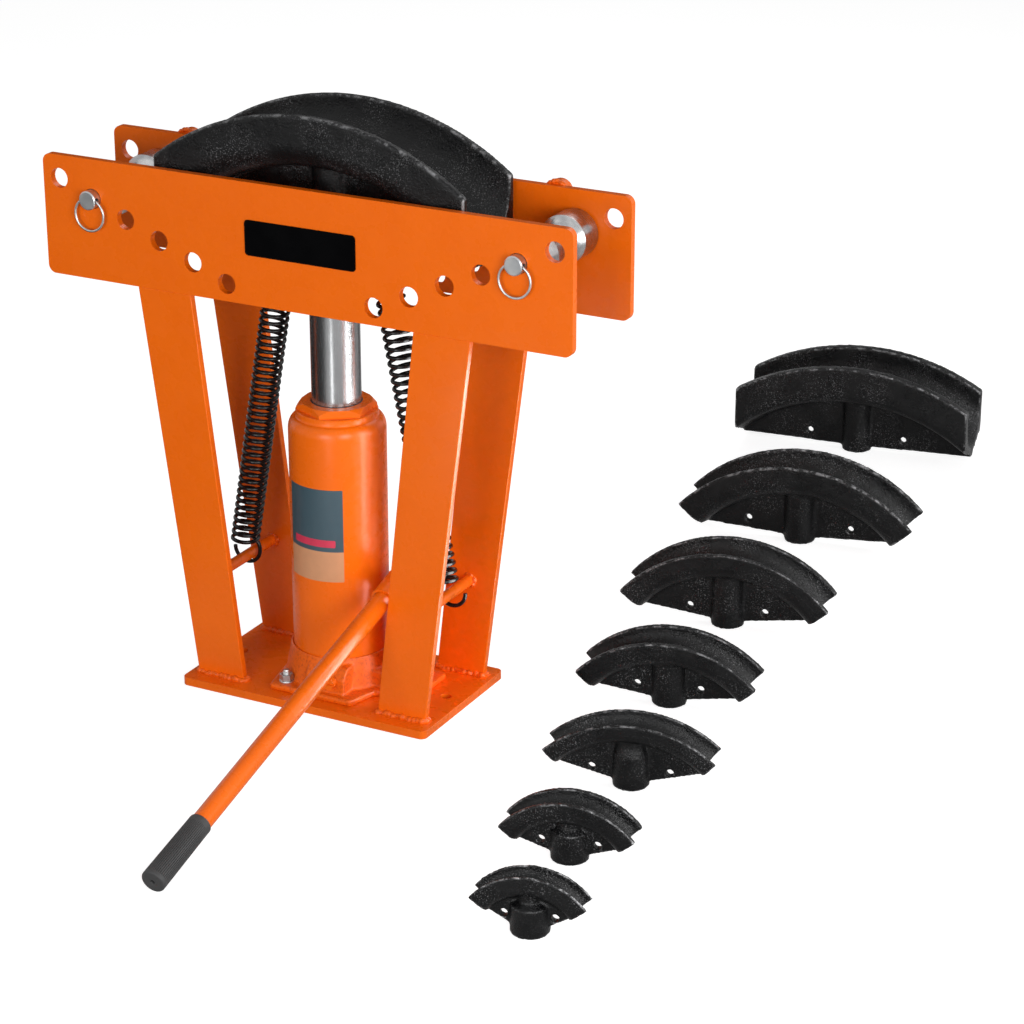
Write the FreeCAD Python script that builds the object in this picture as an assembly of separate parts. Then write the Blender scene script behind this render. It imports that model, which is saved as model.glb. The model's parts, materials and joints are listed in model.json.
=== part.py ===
import FreeCAD, Part
import math
import os
from collections import namedtuple

V = FreeCAD.Vector
UP = V(0, 0, 1)
ACROSS = V(0, 1, 0)
ALONG = V(1, 0, 0)

# Hydraulic pipe bender, millimetres. X runs along the two side plates, Y across them,
# Z is up. The origin is the centre of the base plate's underside, under the ram.

# Clearances
RUNNING = 0.08
LOOSE = 0.3
SLIP = 0.05

# Base plate
BASE_LENGTH = 296.0
BASE_WIDTH = 175.0
BASE_THICKNESS = 9.0
BASE_CORNER = 7.0
BASE_HOLE_D = 11.5
BASE_HOLE_SPACING = 252.0

# Side plates and their rows of pin holes
PLATE_LENGTH = 610.0
PLATE_HEIGHT = 128.0
PLATE_THICKNESS = 8.0
PLATE_CORNER = 9.0
PLATE_BOTTOM = 432.0
PLATE_GAP = 120.0
HOLE_D = 21.0
HOLE_COUNT = 6
HOLE_END = 19.5
HOLE_OUTER_RISE = 103.4
HOLE_STEP_X = 40.0
HOLE_STEP_Z = 17.0
PIN_HOLE = 1

# Legs: half spans of a leg's inner and outer edge
LEG_THICKNESS = 8.0
LEG_FOOT_INNER = 82.0
LEG_FOOT_OUTER = 138.0
LEG_HEAD_INNER = 130.0
LEG_HEAD_OUTER = 193.5

# Spring rods, welded between a front and a rear leg
ROD_D = 12.0
ROD_X = 122.0
ROD_Z = 119.0

# Stubs behind the rear plate
STUB_D = 25.0
STUB_LENGTH = 14.0
STUB_X = 218.0
STUB_Z = 551.0

# Badge plate, left bare
BADGE_LENGTH = 128.0
BADGE_HEIGHT = 37.0
BADGE_THICKNESS = 1.2
BADGE_CORNER = 4.0
BADGE_X = 2.5
BADGE_Z = 503.0

# Jack casting
FOOT_THICKNESS = 7.0
FOOT_FRONT = 71.0
FOOT_LEFT = 48.0
FOOT_RIGHT = 50.0
FOOT_BULGE = 10.0
FOOT_PUMP_REACH = 22.0
FOOT_PUMP_FRONT = 26.0
FOOT_PUMP_REAR = 40.0
COLLAR_TOP_D = 107.0
COLLAR_FOOT_D = 121.0
COLLAR_HEIGHT = 34.0
BODY_SEAT_DEPTH = 14.0
CYLINDER_SEAT_DEPTH = 6.0
BLOCK_LEFT = -8.0
BLOCK_RIGHT = 38.0
BLOCK_FRONT = 63.0
BLOCK_HEIGHT = 22.0
SADDLE_HEIGHT = 18.0
SADDLE_WIDTH = 44.0

# Jack fastenings: studs from the base plate
STUD_D = 8.0
STUD_X = 35.0
STUD_Y = 57.0
STUD_RISE = 13.0
STUD_SINK = 8.0
WASHER_D = 16.0
WASHER_THICKNESS = 1.6
NUT_FLATS = 13.0
NUT_HEIGHT = 6.5

# Jack body, cylinder and gland
BODY_D = 102.0
BODY_WALL = 5.0
BODY_HEIGHT = 254.0
SHOULDER_RISE = 14.0
NECK_D = 86.0
NECK_HEIGHT = 7.0
SPIGOT_D = 72.0
SPIGOT_LENGTH = 15.0
GLAND_CORNERS = 84.0
GLAND_HEIGHT = 8.5
GLAND_TURN = 35.0
GLAND_CHAMFER = 5.0
SEAL_SECTION = 4.0
SEAL_DROP = 8.0
CYLINDER_D = 70.0
CYLINDER_BORE = 56.0
PLUG_D = 13.0
PLUG_PROUD = 2.5
PLUG_DEPTH = 4.0
PLUG_DROP = 43.0

# Ram, partly run out as in the photograph
RAM_D = 52.0
RAM_TOP = 450.0
STROKE_UP = 120.0
STROKE_SPARE = 1.0
PISTON_HEIGHT = 22.0
PISTON_STUD_D = 20.0
SEAL_GROOVE = 6.0
RAM_NECK_D = 24.4
RAM_NECK_RISE = 20.0

# Spring yoke: a channel across the top of the ram
YOKE_LENGTH = 148.0
YOKE_INNER = 38.0
YOKE_WALL = 4.0
YOKE_TOP = 5.0
YOKE_HEIGHT = 26.0
YOKE_PIN_D = 8.0
YOKE_PIN_X = 62.0
YOKE_PIN_DROP = 17.0

# Return springs
SPRING_WIRE = 4.3
SPRING_OD = 31.8
# Coils of each spring, by side
SPRING_TURNS = {-1: 39, 1: 35}
HOOK_REACH = 14.0
HOOK_REACH_TOP = 6.0
HOOK_OFFSET = 13.0
HOOK_RADIUS = 15.5
HOOK_SWEEP = 172.0
# How far outside its rod a spring's lower end and its lower hook hang, by side
SPRING_LEAN = {-1: (0.0, 1.8), 1: (7.0, 5.0)}

# Rollers, their pins and the pull rings
ROLLER_D = 50.0
ROLLER_BORE_D = 23.0
ROLLER_BAND = 29.5
ROLLER_WAIST = 34.0
ROLLER_SIDE_GAP = 1.5
ROLLER_CHAMFER = 1.5
PIN_D = 20.0
PIN_FRONT = 10.0
PIN_REAR = 4.0
PIN_CHAMFER = 1.2
RING_OD = 37.0
RING_WIRE = 2.6
RING_STANDOFF = 6.0

# Pump and its lever
PUMP_X = 83.0
FULCRUM_Y = 28.0
FULCRUM_Z = 132.0
LEVER_ARM = 33.0
LEVER_SWING = 35.0
BARREL_D = 34.0
BARREL_HEIGHT = 64.0
PUMP_NUT_FLATS = 27.0
PUMP_NUT_HEIGHT = 8.0
PLUNGER_D = 12.0
PLUNGER_HEAD_WIDTH = 17.0
PLUNGER_HEAD_DEPTH = 20.0
PLUNGER_HEAD_HEIGHT = 22.0
PLUNGER_GAP = 2.0
BARREL_FLOOR = 5.0
CHEEK_THICKNESS = 4.0
CHEEK_GAP = 0.5
LINK_PIN_D = 8.0
LINK_PIN_PROUD = 2.0
POST_DEPTH = 16.0

# Handle: its axis lies in the plane of the pump
HANDLE_TILT = 15.45
MOUTH_Y = -55.5
MOUTH_Z = 131.7
SOCKET_D = 26.0
SOCKET_LENGTH = 40.0
SOCKET_WEB = 2.0
HANDLE_D = 20.5
HANDLE_WALL = 1.8
HANDLE_LENGTH = 482.0
HANDLE_INSERT = 35.0
GRIP_LENGTH = 86.0
GRIP_END_D = 25.0
GRIP_TOP_D = 23.6
GRIP_FLOOR = 4.0
GRIP_HOLE_D = 4.5

# Release valve
VALVE_X = 24.0
VALVE_Z = 30.0
VALVE_STEM_D = 8.0
VALVE_STEM_LENGTH = 16.0
VALVE_HEAD_D = 13.0
VALVE_HEAD_LENGTH = 8.0
VALVE_SLOT = 2.4

# Bending dies
BOSS_D = 37.4
SEAT_BORE_D = 25.0
SEAT_BORE_DEPTH = 22.0
WEB_THICKNESS = 10.0
WEB_START = 5.0
DIE_HOLE_D = 8.0
# Sizes of a die. pipe and width are the groove's and the whole rim's, straight is how far the
# groove goes down before it rounds. wall, corner and depth are the rim's outside: straight
# wall, radius under it and full depth. radius is the rim's. reach is half the length of a
# die with square ends, otherwise half the angle. The web hole is at hole_x and hole_z, and
# web_short is how far before the rim's end the web stops.
DIE_FIELDS = "pipe width straight wall corner depth radius height reach square hole_x hole_z web_short"
Die = namedtuple("Die", DIE_FIELDS, defaults=[0.0])
DIE_SIZES = {
    "die_3_inch": Die(88.9, 106.0, 4.0, 32.0, 24.0, 58.0, 294.0, 154.0, 179.0, True, 75.0, 24.0, 29.0),
    "die_2_1_2_inch": Die(76.0, 104.0, 12.0, 36.5, 10.0, 59.0, 285.0, 123.0, 150.0, True, 61.0, 19.0),
    "die_2_inch": Die(60.3, 72.0, 4.0, 20.5, 18.0, 43.0, 192.5, 102.0, 47.5, False, 62.0, 21.0),
    "die_1_1_2_inch": Die(48.3, 62.0, 2.0, 16.0, 15.0, 34.5, 153.5, 92.5, 50.3, False, 42.5, 18.5),
    "die_1_1_4_inch": Die(42.4, 56.5, 2.0, 13.5, 13.5, 31.5, 132.0, 76.5, 47.0, False, 34.0, 19.0),
    "die_1_inch": Die(33.7, 41.5, 1.0, 11.0, 10.0, 25.0, 128.5, 72.0, 42.8, False, 39.5, 17.0),
    "die_3_4_inch": Die(26.9, 37.5, 2.0, 13.0, 10.0, 26.0, 85.5, 64.0, 51.5, False, 27.5, 17.5),
    "die_1_2_inch": Die(21.3, 26.5, 2.0, 14.0, 8.0, 24.0, 69.2, 60.0, 53.0, False, 24.0, 17.0),
}
# Bosses that narrow under the rim: full height, rise of the taper, neck diameter
DIE_NECKS = {
    "die_1_inch": (34.0, 11.0, 31.0),
    "die_3_4_inch": (30.0, 4.0, 24.0),
    "die_1_2_inch": (28.0, 4.0, 23.0),
}
# Where each loose die stands on the floor: x, y and turn about the vertical
LOOSE_DIES = {
    "die_2_1_2_inch": (224.9, 921.7, 8.1),
    "die_2_inch": (278.8, 599.6, 8.8),
    "die_1_1_2_inch": (302.9, 331.9, 11.9),
    "die_1_1_4_inch": (331.2, 115.3, 12.8),
    "die_1_inch": (377.8, -76.3, 15.6),
    "die_3_4_inch": (392.6, -242.1, 12.5),
    "die_1_2_inch": (423.0, -383.3, 13.9),
}

# Sizes that follow from those above
PLATE_INNER = PLATE_GAP / 2
PLATE_OUTER = PLATE_INNER + PLATE_THICKNESS
FOOT_TOP = BASE_THICKNESS + FOOT_THICKNESS
COLLAR_TOP = FOOT_TOP + COLLAR_HEIGHT
BODY_BOTTOM = COLLAR_TOP - BODY_SEAT_DEPTH
CYLINDER_BOTTOM = BODY_BOTTOM - CYLINDER_SEAT_DEPTH
SHOULDER_TOP = BODY_BOTTOM + BODY_HEIGHT + SHOULDER_RISE
NECK_TOP = SHOULDER_TOP + NECK_HEIGHT
SPIGOT_BOTTOM = NECK_TOP - SPIGOT_LENGTH
PLUG_Z = NECK_TOP - PLUG_DROP
PISTON_TOP = SPIGOT_BOTTOM - STROKE_UP - STROKE_SPARE
PISTON_BOTTOM = PISTON_TOP - PISTON_HEIGHT
YOKE_FACE = RAM_TOP + YOKE_HEIGHT
YOKE_PIN_Z = YOKE_FACE - YOKE_PIN_DROP
BLOCK_TOP = FOOT_TOP + BLOCK_HEIGHT
SADDLE_TOP = FOOT_TOP + SADDLE_HEIGHT
HALF_SWING = math.radians(LEVER_SWING / 2)
LINK_PIN_Y = FULCRUM_Y - LEVER_ARM * math.cos(HALF_SWING)
LINK_PIN_Z = FULCRUM_Z - LEVER_ARM * math.sin(HALF_SWING)
PLUNGER_Y = FULCRUM_Y - LEVER_ARM * (1 + math.cos(HALF_SWING)) / 2
SLOT_REACH = LEVER_ARM * (1 - math.cos(HALF_SWING)) / 2
BARREL_TOP = SADDLE_TOP + BARREL_HEIGHT
PUMP_NUT_TOP = BARREL_TOP + PUMP_NUT_HEIGHT
CHEEK_INNER = PLUNGER_HEAD_WIDTH / 2 + CHEEK_GAP
CHEEK_OUTER = CHEEK_INNER + CHEEK_THICKNESS
PIN_HOLE_X = PLATE_LENGTH / 2 - HOLE_END - PIN_HOLE * HOLE_STEP_X
PIN_HOLE_Z = PLATE_BOTTOM + HOLE_OUTER_RISE - PIN_HOLE * HOLE_STEP_Z
ROLLER_Z = PIN_HOLE_Z - (ROLLER_BORE_D - PIN_D) / 2 + RUNNING
SIDES = {"left": -1, "right": 1}
ROWS = {"front": -1, "rear": 1}


def save(name, shape):
    """Writes one piece as its own file, and says so if it isn't sound."""
    if not shape.isValid():
        print("not valid:", name)
    shape.exportStep("parts/" + name + ".step")
    print(name, len(shape.Solids), "solid,", round(shape.Volume / 1000, 2), "cm3")


def box(low, high):
    return Part.makeBox(high[0] - low[0], high[1] - low[1], high[2] - low[2], V(*low))


def rod(diameter, start, end):
    line = V(*end) - V(*start)
    return Part.makeCylinder(diameter / 2, line.Length, V(*start), line)


def tube(outer, inner, start, end):
    return rod(outer, start, end).cut(rod(inner, start, end))


def prism(points, reach):
    """Extrudes a closed outline by the vector reach."""
    corners = [V(*p) for p in points]
    wire = Part.makePolygon(corners + [corners[0]])
    return Part.Face(wire).extrude(V(*reach))


def hexagon(flats, base, height, turn=0.0):
    radius = flats / math.sqrt(3)
    points = []
    for step in range(6):
        angle = math.radians(turn + 60 * step)
        points.append((base[0] + radius * math.cos(angle), base[1] + radius * math.sin(angle), base[2]))
    return prism(points, (0, 0, height))


def round_edges(shape, radius, chosen):
    edges = [edge for edge in shape.Edges if chosen(edge)]
    return shape.makeFillet(radius, edges)


def runs_along(edge, axis):
    if not isinstance(edge.Curve, Part.Line):
        return False
    return abs(abs(edge.tangentAt(edge.FirstParameter).dot(axis)) - 1) < 1e-6


def at_height(edge, height):
    return abs(edge.CenterOfMass.z - height) < 1e-6


def hole_centres(side):
    """Centres of one row of pin holes, outermost first."""
    centres = []
    for step in range(HOLE_COUNT):
        x = side * (PLATE_LENGTH / 2 - HOLE_END - step * HOLE_STEP_X)
        z = PLATE_BOTTOM + HOLE_OUTER_RISE - step * HOLE_STEP_Z
        centres.append((x, z))
    return centres


def base_plate():
    half = BASE_LENGTH / 2
    depth = BASE_WIDTH / 2
    plate = box((-half, -depth, 0), (half, depth, BASE_THICKNESS))
    plate = round_edges(plate, BASE_CORNER, lambda edge: runs_along(edge, UP))
    for side in SIDES.values():
        x = side * BASE_HOLE_SPACING / 2
        plate = plate.cut(rod(BASE_HOLE_D, (x, 0, 0), (x, 0, BASE_THICKNESS)))
        plate = plate.cut(stud(side))
    return plate


def side_plate(row):
    half = PLATE_LENGTH / 2
    top = PLATE_BOTTOM + PLATE_HEIGHT
    faces = sorted((row * PLATE_INNER, row * PLATE_OUTER))
    plate = box((-half, faces[0], PLATE_BOTTOM), (half, faces[1], top))
    plate = round_edges(plate, PLATE_CORNER, lambda edge: runs_along(edge, ACROSS))
    for side in SIDES.values():
        for x, z in hole_centres(side):
            plate = plate.cut(rod(HOLE_D, (x, faces[0], z), (x, faces[1], z)))
    return plate


def leg(side, row):
    foot = BASE_THICKNESS
    start = min(row * PLATE_OUTER, row * (PLATE_OUTER - LEG_THICKNESS))
    outline = [
        (side * LEG_FOOT_INNER, start, foot),
        (side * LEG_FOOT_OUTER, start, foot),
        (side * LEG_HEAD_OUTER, start, PLATE_BOTTOM),
        (side * LEG_HEAD_INNER, start, PLATE_BOTTOM),
    ]
    return prism(outline, (0, LEG_THICKNESS, 0))


def spring_rod(side):
    reach = PLATE_OUTER - LEG_THICKNESS
    return rod(ROD_D, (side * ROD_X, -reach, ROD_Z), (side * ROD_X, reach, ROD_Z))


def rear_stubs():
    stubs = []
    for side in SIDES.values():
        x = side * STUB_X
        stub = rod(STUB_D, (x, PLATE_OUTER, STUB_Z), (x, PLATE_OUTER + STUB_LENGTH, STUB_Z))
        stubs.append(stub)
    return Part.makeCompound(stubs)


def name_badge():
    low = (BADGE_X - BADGE_LENGTH / 2, -PLATE_OUTER - BADGE_THICKNESS, BADGE_Z - BADGE_HEIGHT / 2)
    high = (BADGE_X + BADGE_LENGTH / 2, -PLATE_OUTER, BADGE_Z + BADGE_HEIGHT / 2)
    return round_edges(box(low, high), BADGE_CORNER, lambda edge: runs_along(edge, ACROSS))


def jack_foot():
    """Flat flange of the casting, wider in the middle and drawn out under the pump."""
    reach = PUMP_X + FOOT_PUMP_REACH
    middle = FOOT_FRONT / 3
    waist = FOOT_RIGHT + FOOT_BULGE
    outline = [
        (FOOT_RIGHT, -FOOT_FRONT),
        (waist, -FOOT_FRONT / 2),
        (reach, -FOOT_PUMP_FRONT),
        (reach, FOOT_PUMP_REAR),
        (waist, FOOT_PUMP_REAR),
        (FOOT_RIGHT, FOOT_FRONT),
        (-FOOT_LEFT, FOOT_FRONT),
        (-FOOT_LEFT - FOOT_BULGE, middle),
        (-FOOT_LEFT - FOOT_BULGE, -middle),
        (-FOOT_LEFT, -FOOT_FRONT),
    ]
    foot = prism([(x, y, BASE_THICKNESS) for x, y in outline], (0, 0, FOOT_THICKNESS))
    return round_edges(foot, FOOT_THICKNESS / 2, lambda edge: runs_along(edge, UP))


def valve_block():
    """Block in front of the collar that holds the release valve."""
    slope = BLOCK_HEIGHT / 4
    outline = [
        (BLOCK_LEFT, -BLOCK_FRONT, FOOT_TOP),
        (BLOCK_LEFT, 0, FOOT_TOP),
        (BLOCK_LEFT, 0, BLOCK_TOP + slope),
        (BLOCK_LEFT, -COLLAR_TOP_D / 2, BLOCK_TOP + slope),
        (BLOCK_LEFT, -BLOCK_FRONT, BLOCK_TOP - slope),
    ]
    return prism(outline, (BLOCK_RIGHT - BLOCK_LEFT, 0, 0))


def pump_saddle():
    """Raised part of the casting between the collar, the pump and the fulcrum."""
    low = (0, PLUNGER_Y - SADDLE_WIDTH / 2, FOOT_TOP)
    high = (PUMP_X, PLUNGER_Y + SADDLE_WIDTH / 2, SADDLE_TOP)
    saddle = box(low, high)
    boss = rod(SADDLE_WIDTH, (PUMP_X, PLUNGER_Y, FOOT_TOP), (PUMP_X, PLUNGER_Y, SADDLE_TOP))
    half = PLUNGER_HEAD_WIDTH / 2
    rear = FULCRUM_Y + POST_DEPTH / 2
    step = box((PUMP_X - half, PLUNGER_Y, FOOT_TOP), (PUMP_X + half, rear, SADDLE_TOP))
    return saddle.fuse([boss, step])


def jack_base():
    collar = Part.makeCone(COLLAR_FOOT_D / 2, COLLAR_TOP_D / 2, COLLAR_HEIGHT, V(0, 0, FOOT_TOP))
    casting = jack_foot().fuse([collar, valve_block(), pump_saddle()]).removeSplitter()
    seat = BODY_D + 2 * LOOSE
    casting = casting.cut(rod(seat, (0, 0, BODY_BOTTOM), (0, 0, COLLAR_TOP + BLOCK_HEIGHT)))
    cup = CYLINDER_D + 2 * LOOSE
    casting = casting.cut(rod(cup, (0, 0, CYLINDER_BOTTOM), (0, 0, BODY_BOTTOM)))
    stem = VALVE_STEM_D + 2 * RUNNING
    depth = -BLOCK_FRONT + VALVE_STEM_LENGTH + STROKE_SPARE
    casting = casting.cut(rod(stem, (VALVE_X, -BLOCK_FRONT, VALVE_Z), (VALVE_X, depth, VALVE_Z)))
    for side in SIDES.values():
        x = side * STUD_X
        y = side * STUD_Y
        hole = rod(STUD_D + 2 * LOOSE, (x, y, BASE_THICKNESS), (x, y, FOOT_TOP))
        spot = rod(WASHER_D + 2 * LOOSE, (x, y, FOOT_TOP), (x, y, FOOT_TOP + STUD_RISE))
        casting = casting.cut(hole).cut(spot)
    return casting


def stud(side):
    x = side * STUD_X
    y = side * STUD_Y
    return rod(STUD_D, (x, y, BASE_THICKNESS - STUD_SINK), (x, y, FOOT_TOP + STUD_RISE))


def jack_studs():
    return Part.makeCompound([stud(side) for side in SIDES.values()])


def jack_washers():
    high = FOOT_TOP + WASHER_THICKNESS
    washers = []
    for side in SIDES.values():
        x = side * STUD_X
        y = side * STUD_Y
        washers.append(tube(WASHER_D, STUD_D + 2 * SLIP, (x, y, FOOT_TOP), (x, y, high)))
    return Part.makeCompound(washers)


def jack_nuts():
    low = FOOT_TOP + WASHER_THICKNESS
    nuts = []
    for side in SIDES.values():
        x = side * STUD_X
        y = side * STUD_Y
        nut = hexagon(NUT_FLATS, (x, y, low), NUT_HEIGHT)
        nuts.append(nut.cut(rod(STUD_D + 2 * SLIP, (x, y, low), (x, y, low + NUT_HEIGHT))))
    return Part.makeCompound(nuts)


def jack_body():
    """Reservoir tube with a rounded shoulder, a neck and the thread of the gland."""
    outer = BODY_D / 2
    inner = outer - BODY_WALL
    neck = NECK_D / 2
    shoulder = BODY_BOTTOM + BODY_HEIGHT
    curve = Part.Arc(
        V(outer, 0, shoulder),
        V(neck + (outer - neck) * math.sqrt(0.5), 0, shoulder + SHOULDER_RISE * math.sqrt(0.5)),
        V(neck, 0, SHOULDER_TOP),
    )
    corners = [
        V(neck, 0, SHOULDER_TOP),
        V(neck, 0, NECK_TOP),
        V(SPIGOT_D / 2, 0, NECK_TOP),
        V(SPIGOT_D / 2, 0, SPIGOT_BOTTOM),
        V(inner, 0, shoulder),
        V(inner, 0, BODY_BOTTOM),
        V(outer, 0, BODY_BOTTOM),
        V(outer, 0, shoulder),
    ]
    edges = [curve.toShape()]
    for start, end in zip(corners, corners[1:]):
        edges.append(Part.makeLine(start, end))
    body = Part.Face(Part.Wire(edges)).revolve(V(0, 0, 0), UP, 360)
    hole = rod(PLUG_D, (0, inner - BODY_WALL, PLUG_Z), (0, outer + BODY_WALL, PLUG_Z))
    return body.cut(hole)


def filler_plug():
    """Rubber plug of the filling hole, pushed through the reservoir's wall."""
    outer = BODY_D / 2
    shaft = rod(PLUG_D, (0, outer - BODY_WALL - PLUG_DEPTH, PLUG_Z), (0, outer + PLUG_PROUD, PLUG_Z))
    rim = rod(PLUG_D + PLUG_PROUD, (0, outer, PLUG_Z), (0, outer + PLUG_PROUD, PLUG_Z))
    return shaft.fuse(rim).removeSplitter()


def jack_cylinder():
    return tube(CYLINDER_D, CYLINDER_BORE, (0, 0, CYLINDER_BOTTOM), (0, 0, SPIGOT_BOTTOM))


def gland_nut():
    flats = GLAND_CORNERS * math.sqrt(3) / 2
    nut = hexagon(flats, (0, 0, NECK_TOP), GLAND_HEIGHT, GLAND_TURN)
    high = NECK_TOP + GLAND_HEIGHT
    cone = Part.makeCone(
        GLAND_CORNERS / 2 + GLAND_HEIGHT - GLAND_CHAMFER, GLAND_CORNERS / 2 - GLAND_CHAMFER,
        GLAND_HEIGHT, V(0, 0, NECK_TOP))
    spigot = rod(SPIGOT_D - 2 * SLIP, (0, 0, SPIGOT_BOTTOM), (0, 0, NECK_TOP))
    nut = nut.common(cone).fuse(spigot)
    bore = rod(RAM_D + 2 * RUNNING, (0, 0, SPIGOT_BOTTOM), (0, 0, high))
    low = seal_bottom()
    groove = rod(RAM_D + 2 * SEAL_SECTION + 2 * SLIP, (0, 0, low), (0, 0, low + SEAL_SECTION))
    return nut.cut(bore).cut(groove)


def seal_bottom():
    return NECK_TOP - SEAL_DROP


def ram_seal():
    low = seal_bottom()
    return tube(RAM_D + 2 * SEAL_SECTION, RAM_D + 2 * RUNNING, (0, 0, low), (0, 0, low + SEAL_SECTION))


def ram():
    """Solid ram with a stud for the piston below and a neck for yoke and die above."""
    shaft = rod(RAM_D, (0, 0, PISTON_TOP), (0, 0, RAM_TOP))
    stud = rod(PISTON_STUD_D, (0, 0, PISTON_BOTTOM), (0, 0, PISTON_TOP))
    neck = rod(RAM_NECK_D, (0, 0, RAM_TOP), (0, 0, YOKE_FACE + RAM_NECK_RISE))
    return shaft.fuse([stud, neck])


def ram_piston():
    outer = CYLINDER_BORE - 2 * RUNNING
    piston = tube(outer, PISTON_STUD_D + 2 * SLIP, (0, 0, PISTON_BOTTOM), (0, 0, PISTON_TOP))
    middle = (PISTON_BOTTOM + PISTON_TOP - SEAL_GROOVE) / 2
    floor = outer - 2 * SEAL_SECTION - 2 * SLIP
    return piston.cut(tube(outer, floor, (0, 0, middle), (0, 0, middle + SEAL_GROOVE)))


def piston_seal():
    outer = CYLINDER_BORE - 2 * RUNNING
    middle = (PISTON_BOTTOM + PISTON_TOP - SEAL_GROOVE) / 2
    low = middle + SLIP
    return tube(outer, outer - 2 * SEAL_SECTION, (0, 0, low), (0, 0, middle + SEAL_GROOVE - SLIP))


def spring_yoke():
    half = YOKE_LENGTH / 2
    outer = YOKE_INNER / 2 + YOKE_WALL
    inner = YOKE_INNER / 2
    channel = box((-half, -outer, RAM_TOP), (half, outer, YOKE_FACE))
    channel = channel.cut(box((-half, -inner, RAM_TOP), (half, inner, YOKE_FACE - YOKE_TOP)))
    channel = channel.cut(rod(RAM_NECK_D + 2 * SLIP, (0, 0, RAM_TOP), (0, 0, YOKE_FACE)))
    for side in SIDES.values():
        x = side * YOKE_PIN_X
        channel = channel.cut(rod(YOKE_PIN_D + 2 * SLIP, (x, -outer, YOKE_PIN_Z), (x, outer, YOKE_PIN_Z)))
    return channel


def yoke_pins():
    outer = YOKE_INNER / 2 + YOKE_WALL
    pins = []
    for side in SIDES.values():
        x = side * YOKE_PIN_X
        pins.append(rod(YOKE_PIN_D, (x, -outer, YOKE_PIN_Z), (x, outer, YOKE_PIN_Z)))
    return Part.makeCompound(pins)


def biarc(start, start_way, end, end_way):
    """Two arcs that join two points with given directions; yields edges."""
    gap = end - start
    ways = start_way + end_way
    spread = 2 * (1 - start_way.dot(end_way))
    along = gap.dot(ways)
    if abs(spread) < 1e-9:
        return [Part.makeLine(start, end)]
    reach = (-along + math.sqrt(along * along + spread * gap.dot(gap))) / spread
    first = start + start_way * reach
    last = end - end_way * reach
    middle = (first + last) * 0.5
    return [arc_by_corner(start, first, middle), arc_by_corner(middle, last, end)]


def arc_by_corner(start, corner, end):
    """Arc from start to end whose end tangents meet at the corner."""
    chord_middle = (start + end) * 0.5
    toward = chord_middle - corner
    side = (start - corner).Length
    half_turn = math.asin(min(1.0, toward.Length / side))
    if toward.Length < 1e-6:
        return Part.makeLine(start, end)
    crown = corner + toward * (side * math.tan(half_turn / 2) / toward.Length)
    return Part.Arc(start, crown, end).toShape()


def on_circle(centre, first, second, radius, turn):
    """A point on the circle through the directions first and second."""
    return centre + first * (radius * math.cos(turn)) + second * (radius * math.sin(turn))


def spring_line(side):
    """Points and directions of a spring's centre line, from lower hook to upper hook."""
    wire = SPRING_WIRE / 2
    mean = SPRING_OD / 2 - wire
    lean, swing = SPRING_LEAN[side]
    foot = V(side * (ROD_X + lean), 0, ROD_Z)
    head = V(side * YOKE_PIN_X, 0, YOKE_PIN_Z)
    axis = (head - foot).normalize()
    out = V(axis.z, 0, -axis.x) * -side
    slack = HOOK_RADIUS - wire - LOOSE - ROD_D / 2
    low_eye = V(side * (ROD_X + swing), 0, ROD_Z + math.sqrt(slack * slack - swing * swing))
    high_eye = head - axis * (mean - wire - LOOSE - YOKE_PIN_D / 2)
    low = foot + axis * (slack + HOOK_REACH)
    high = high_eye - axis * HOOK_REACH_TOP
    pitch = (high - low).Length / SPRING_TURNS[side]
    line = []
    steps = [HOOK_SWEEP, 90.0, 0.0]
    for angle in steps:
        turn = math.radians(angle)
        place = on_circle(low_eye + ACROSS * HOOK_OFFSET, out, axis * -1, HOOK_RADIUS, turn)
        way = out * math.sin(turn) + axis * math.cos(turn)
        line.append((place, way))
    for half in range(2 * SPRING_TURNS[side] + 1):
        turn = math.pi / 2 + math.pi * half
        place = on_circle(low + axis * (pitch * half / 2), out, ACROSS, mean, turn)
        rise = axis * (pitch / (2 * math.pi))
        way = on_circle(rise, ACROSS, out * -1, mean, turn)
        line.append((place, way.normalize()))
    for angle in reversed(steps):
        turn = math.radians(angle)
        place = on_circle(high_eye + ACROSS * HOOK_OFFSET, out * -1, axis, mean, turn)
        way = out * math.sin(turn) + axis * math.cos(turn)
        line.append((place, way))
    return line


def spring(side):
    """One unbroken wire: hook, coils and hook, as a pipe shell on arcs."""
    line = spring_line(side)
    edges = []
    for (start, start_way), (end, end_way) in zip(line, line[1:]):
        edges.extend(biarc(start, start_way, end, end_way))
    path = Part.Wire(edges)
    section = Part.Wire([Part.makeCircle(SPRING_WIRE / 2, line[0][0], line[0][1])])
    solid = Part.Wire(path).makePipeShell([section], True, False)
    print("spring least self-gap", round(self_gap(path, SPRING_WIRE, SPRING_OD), 2), "mm")
    return solid


def self_gap(path, wire, apart):
    """Least clear gap of a wound wire to itself, measured between points."""
    length = path.Length
    count = int(length / wire * 2)
    points = path.discretize(count)
    step = length / (count - 1)
    skip = int(apart / step) + 1
    least = length
    for index, point in enumerate(points):
        for other in points[index + skip:index + 4 * skip]:
            least = min(least, point.distanceToPoint(other))
    return least - wire


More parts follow.
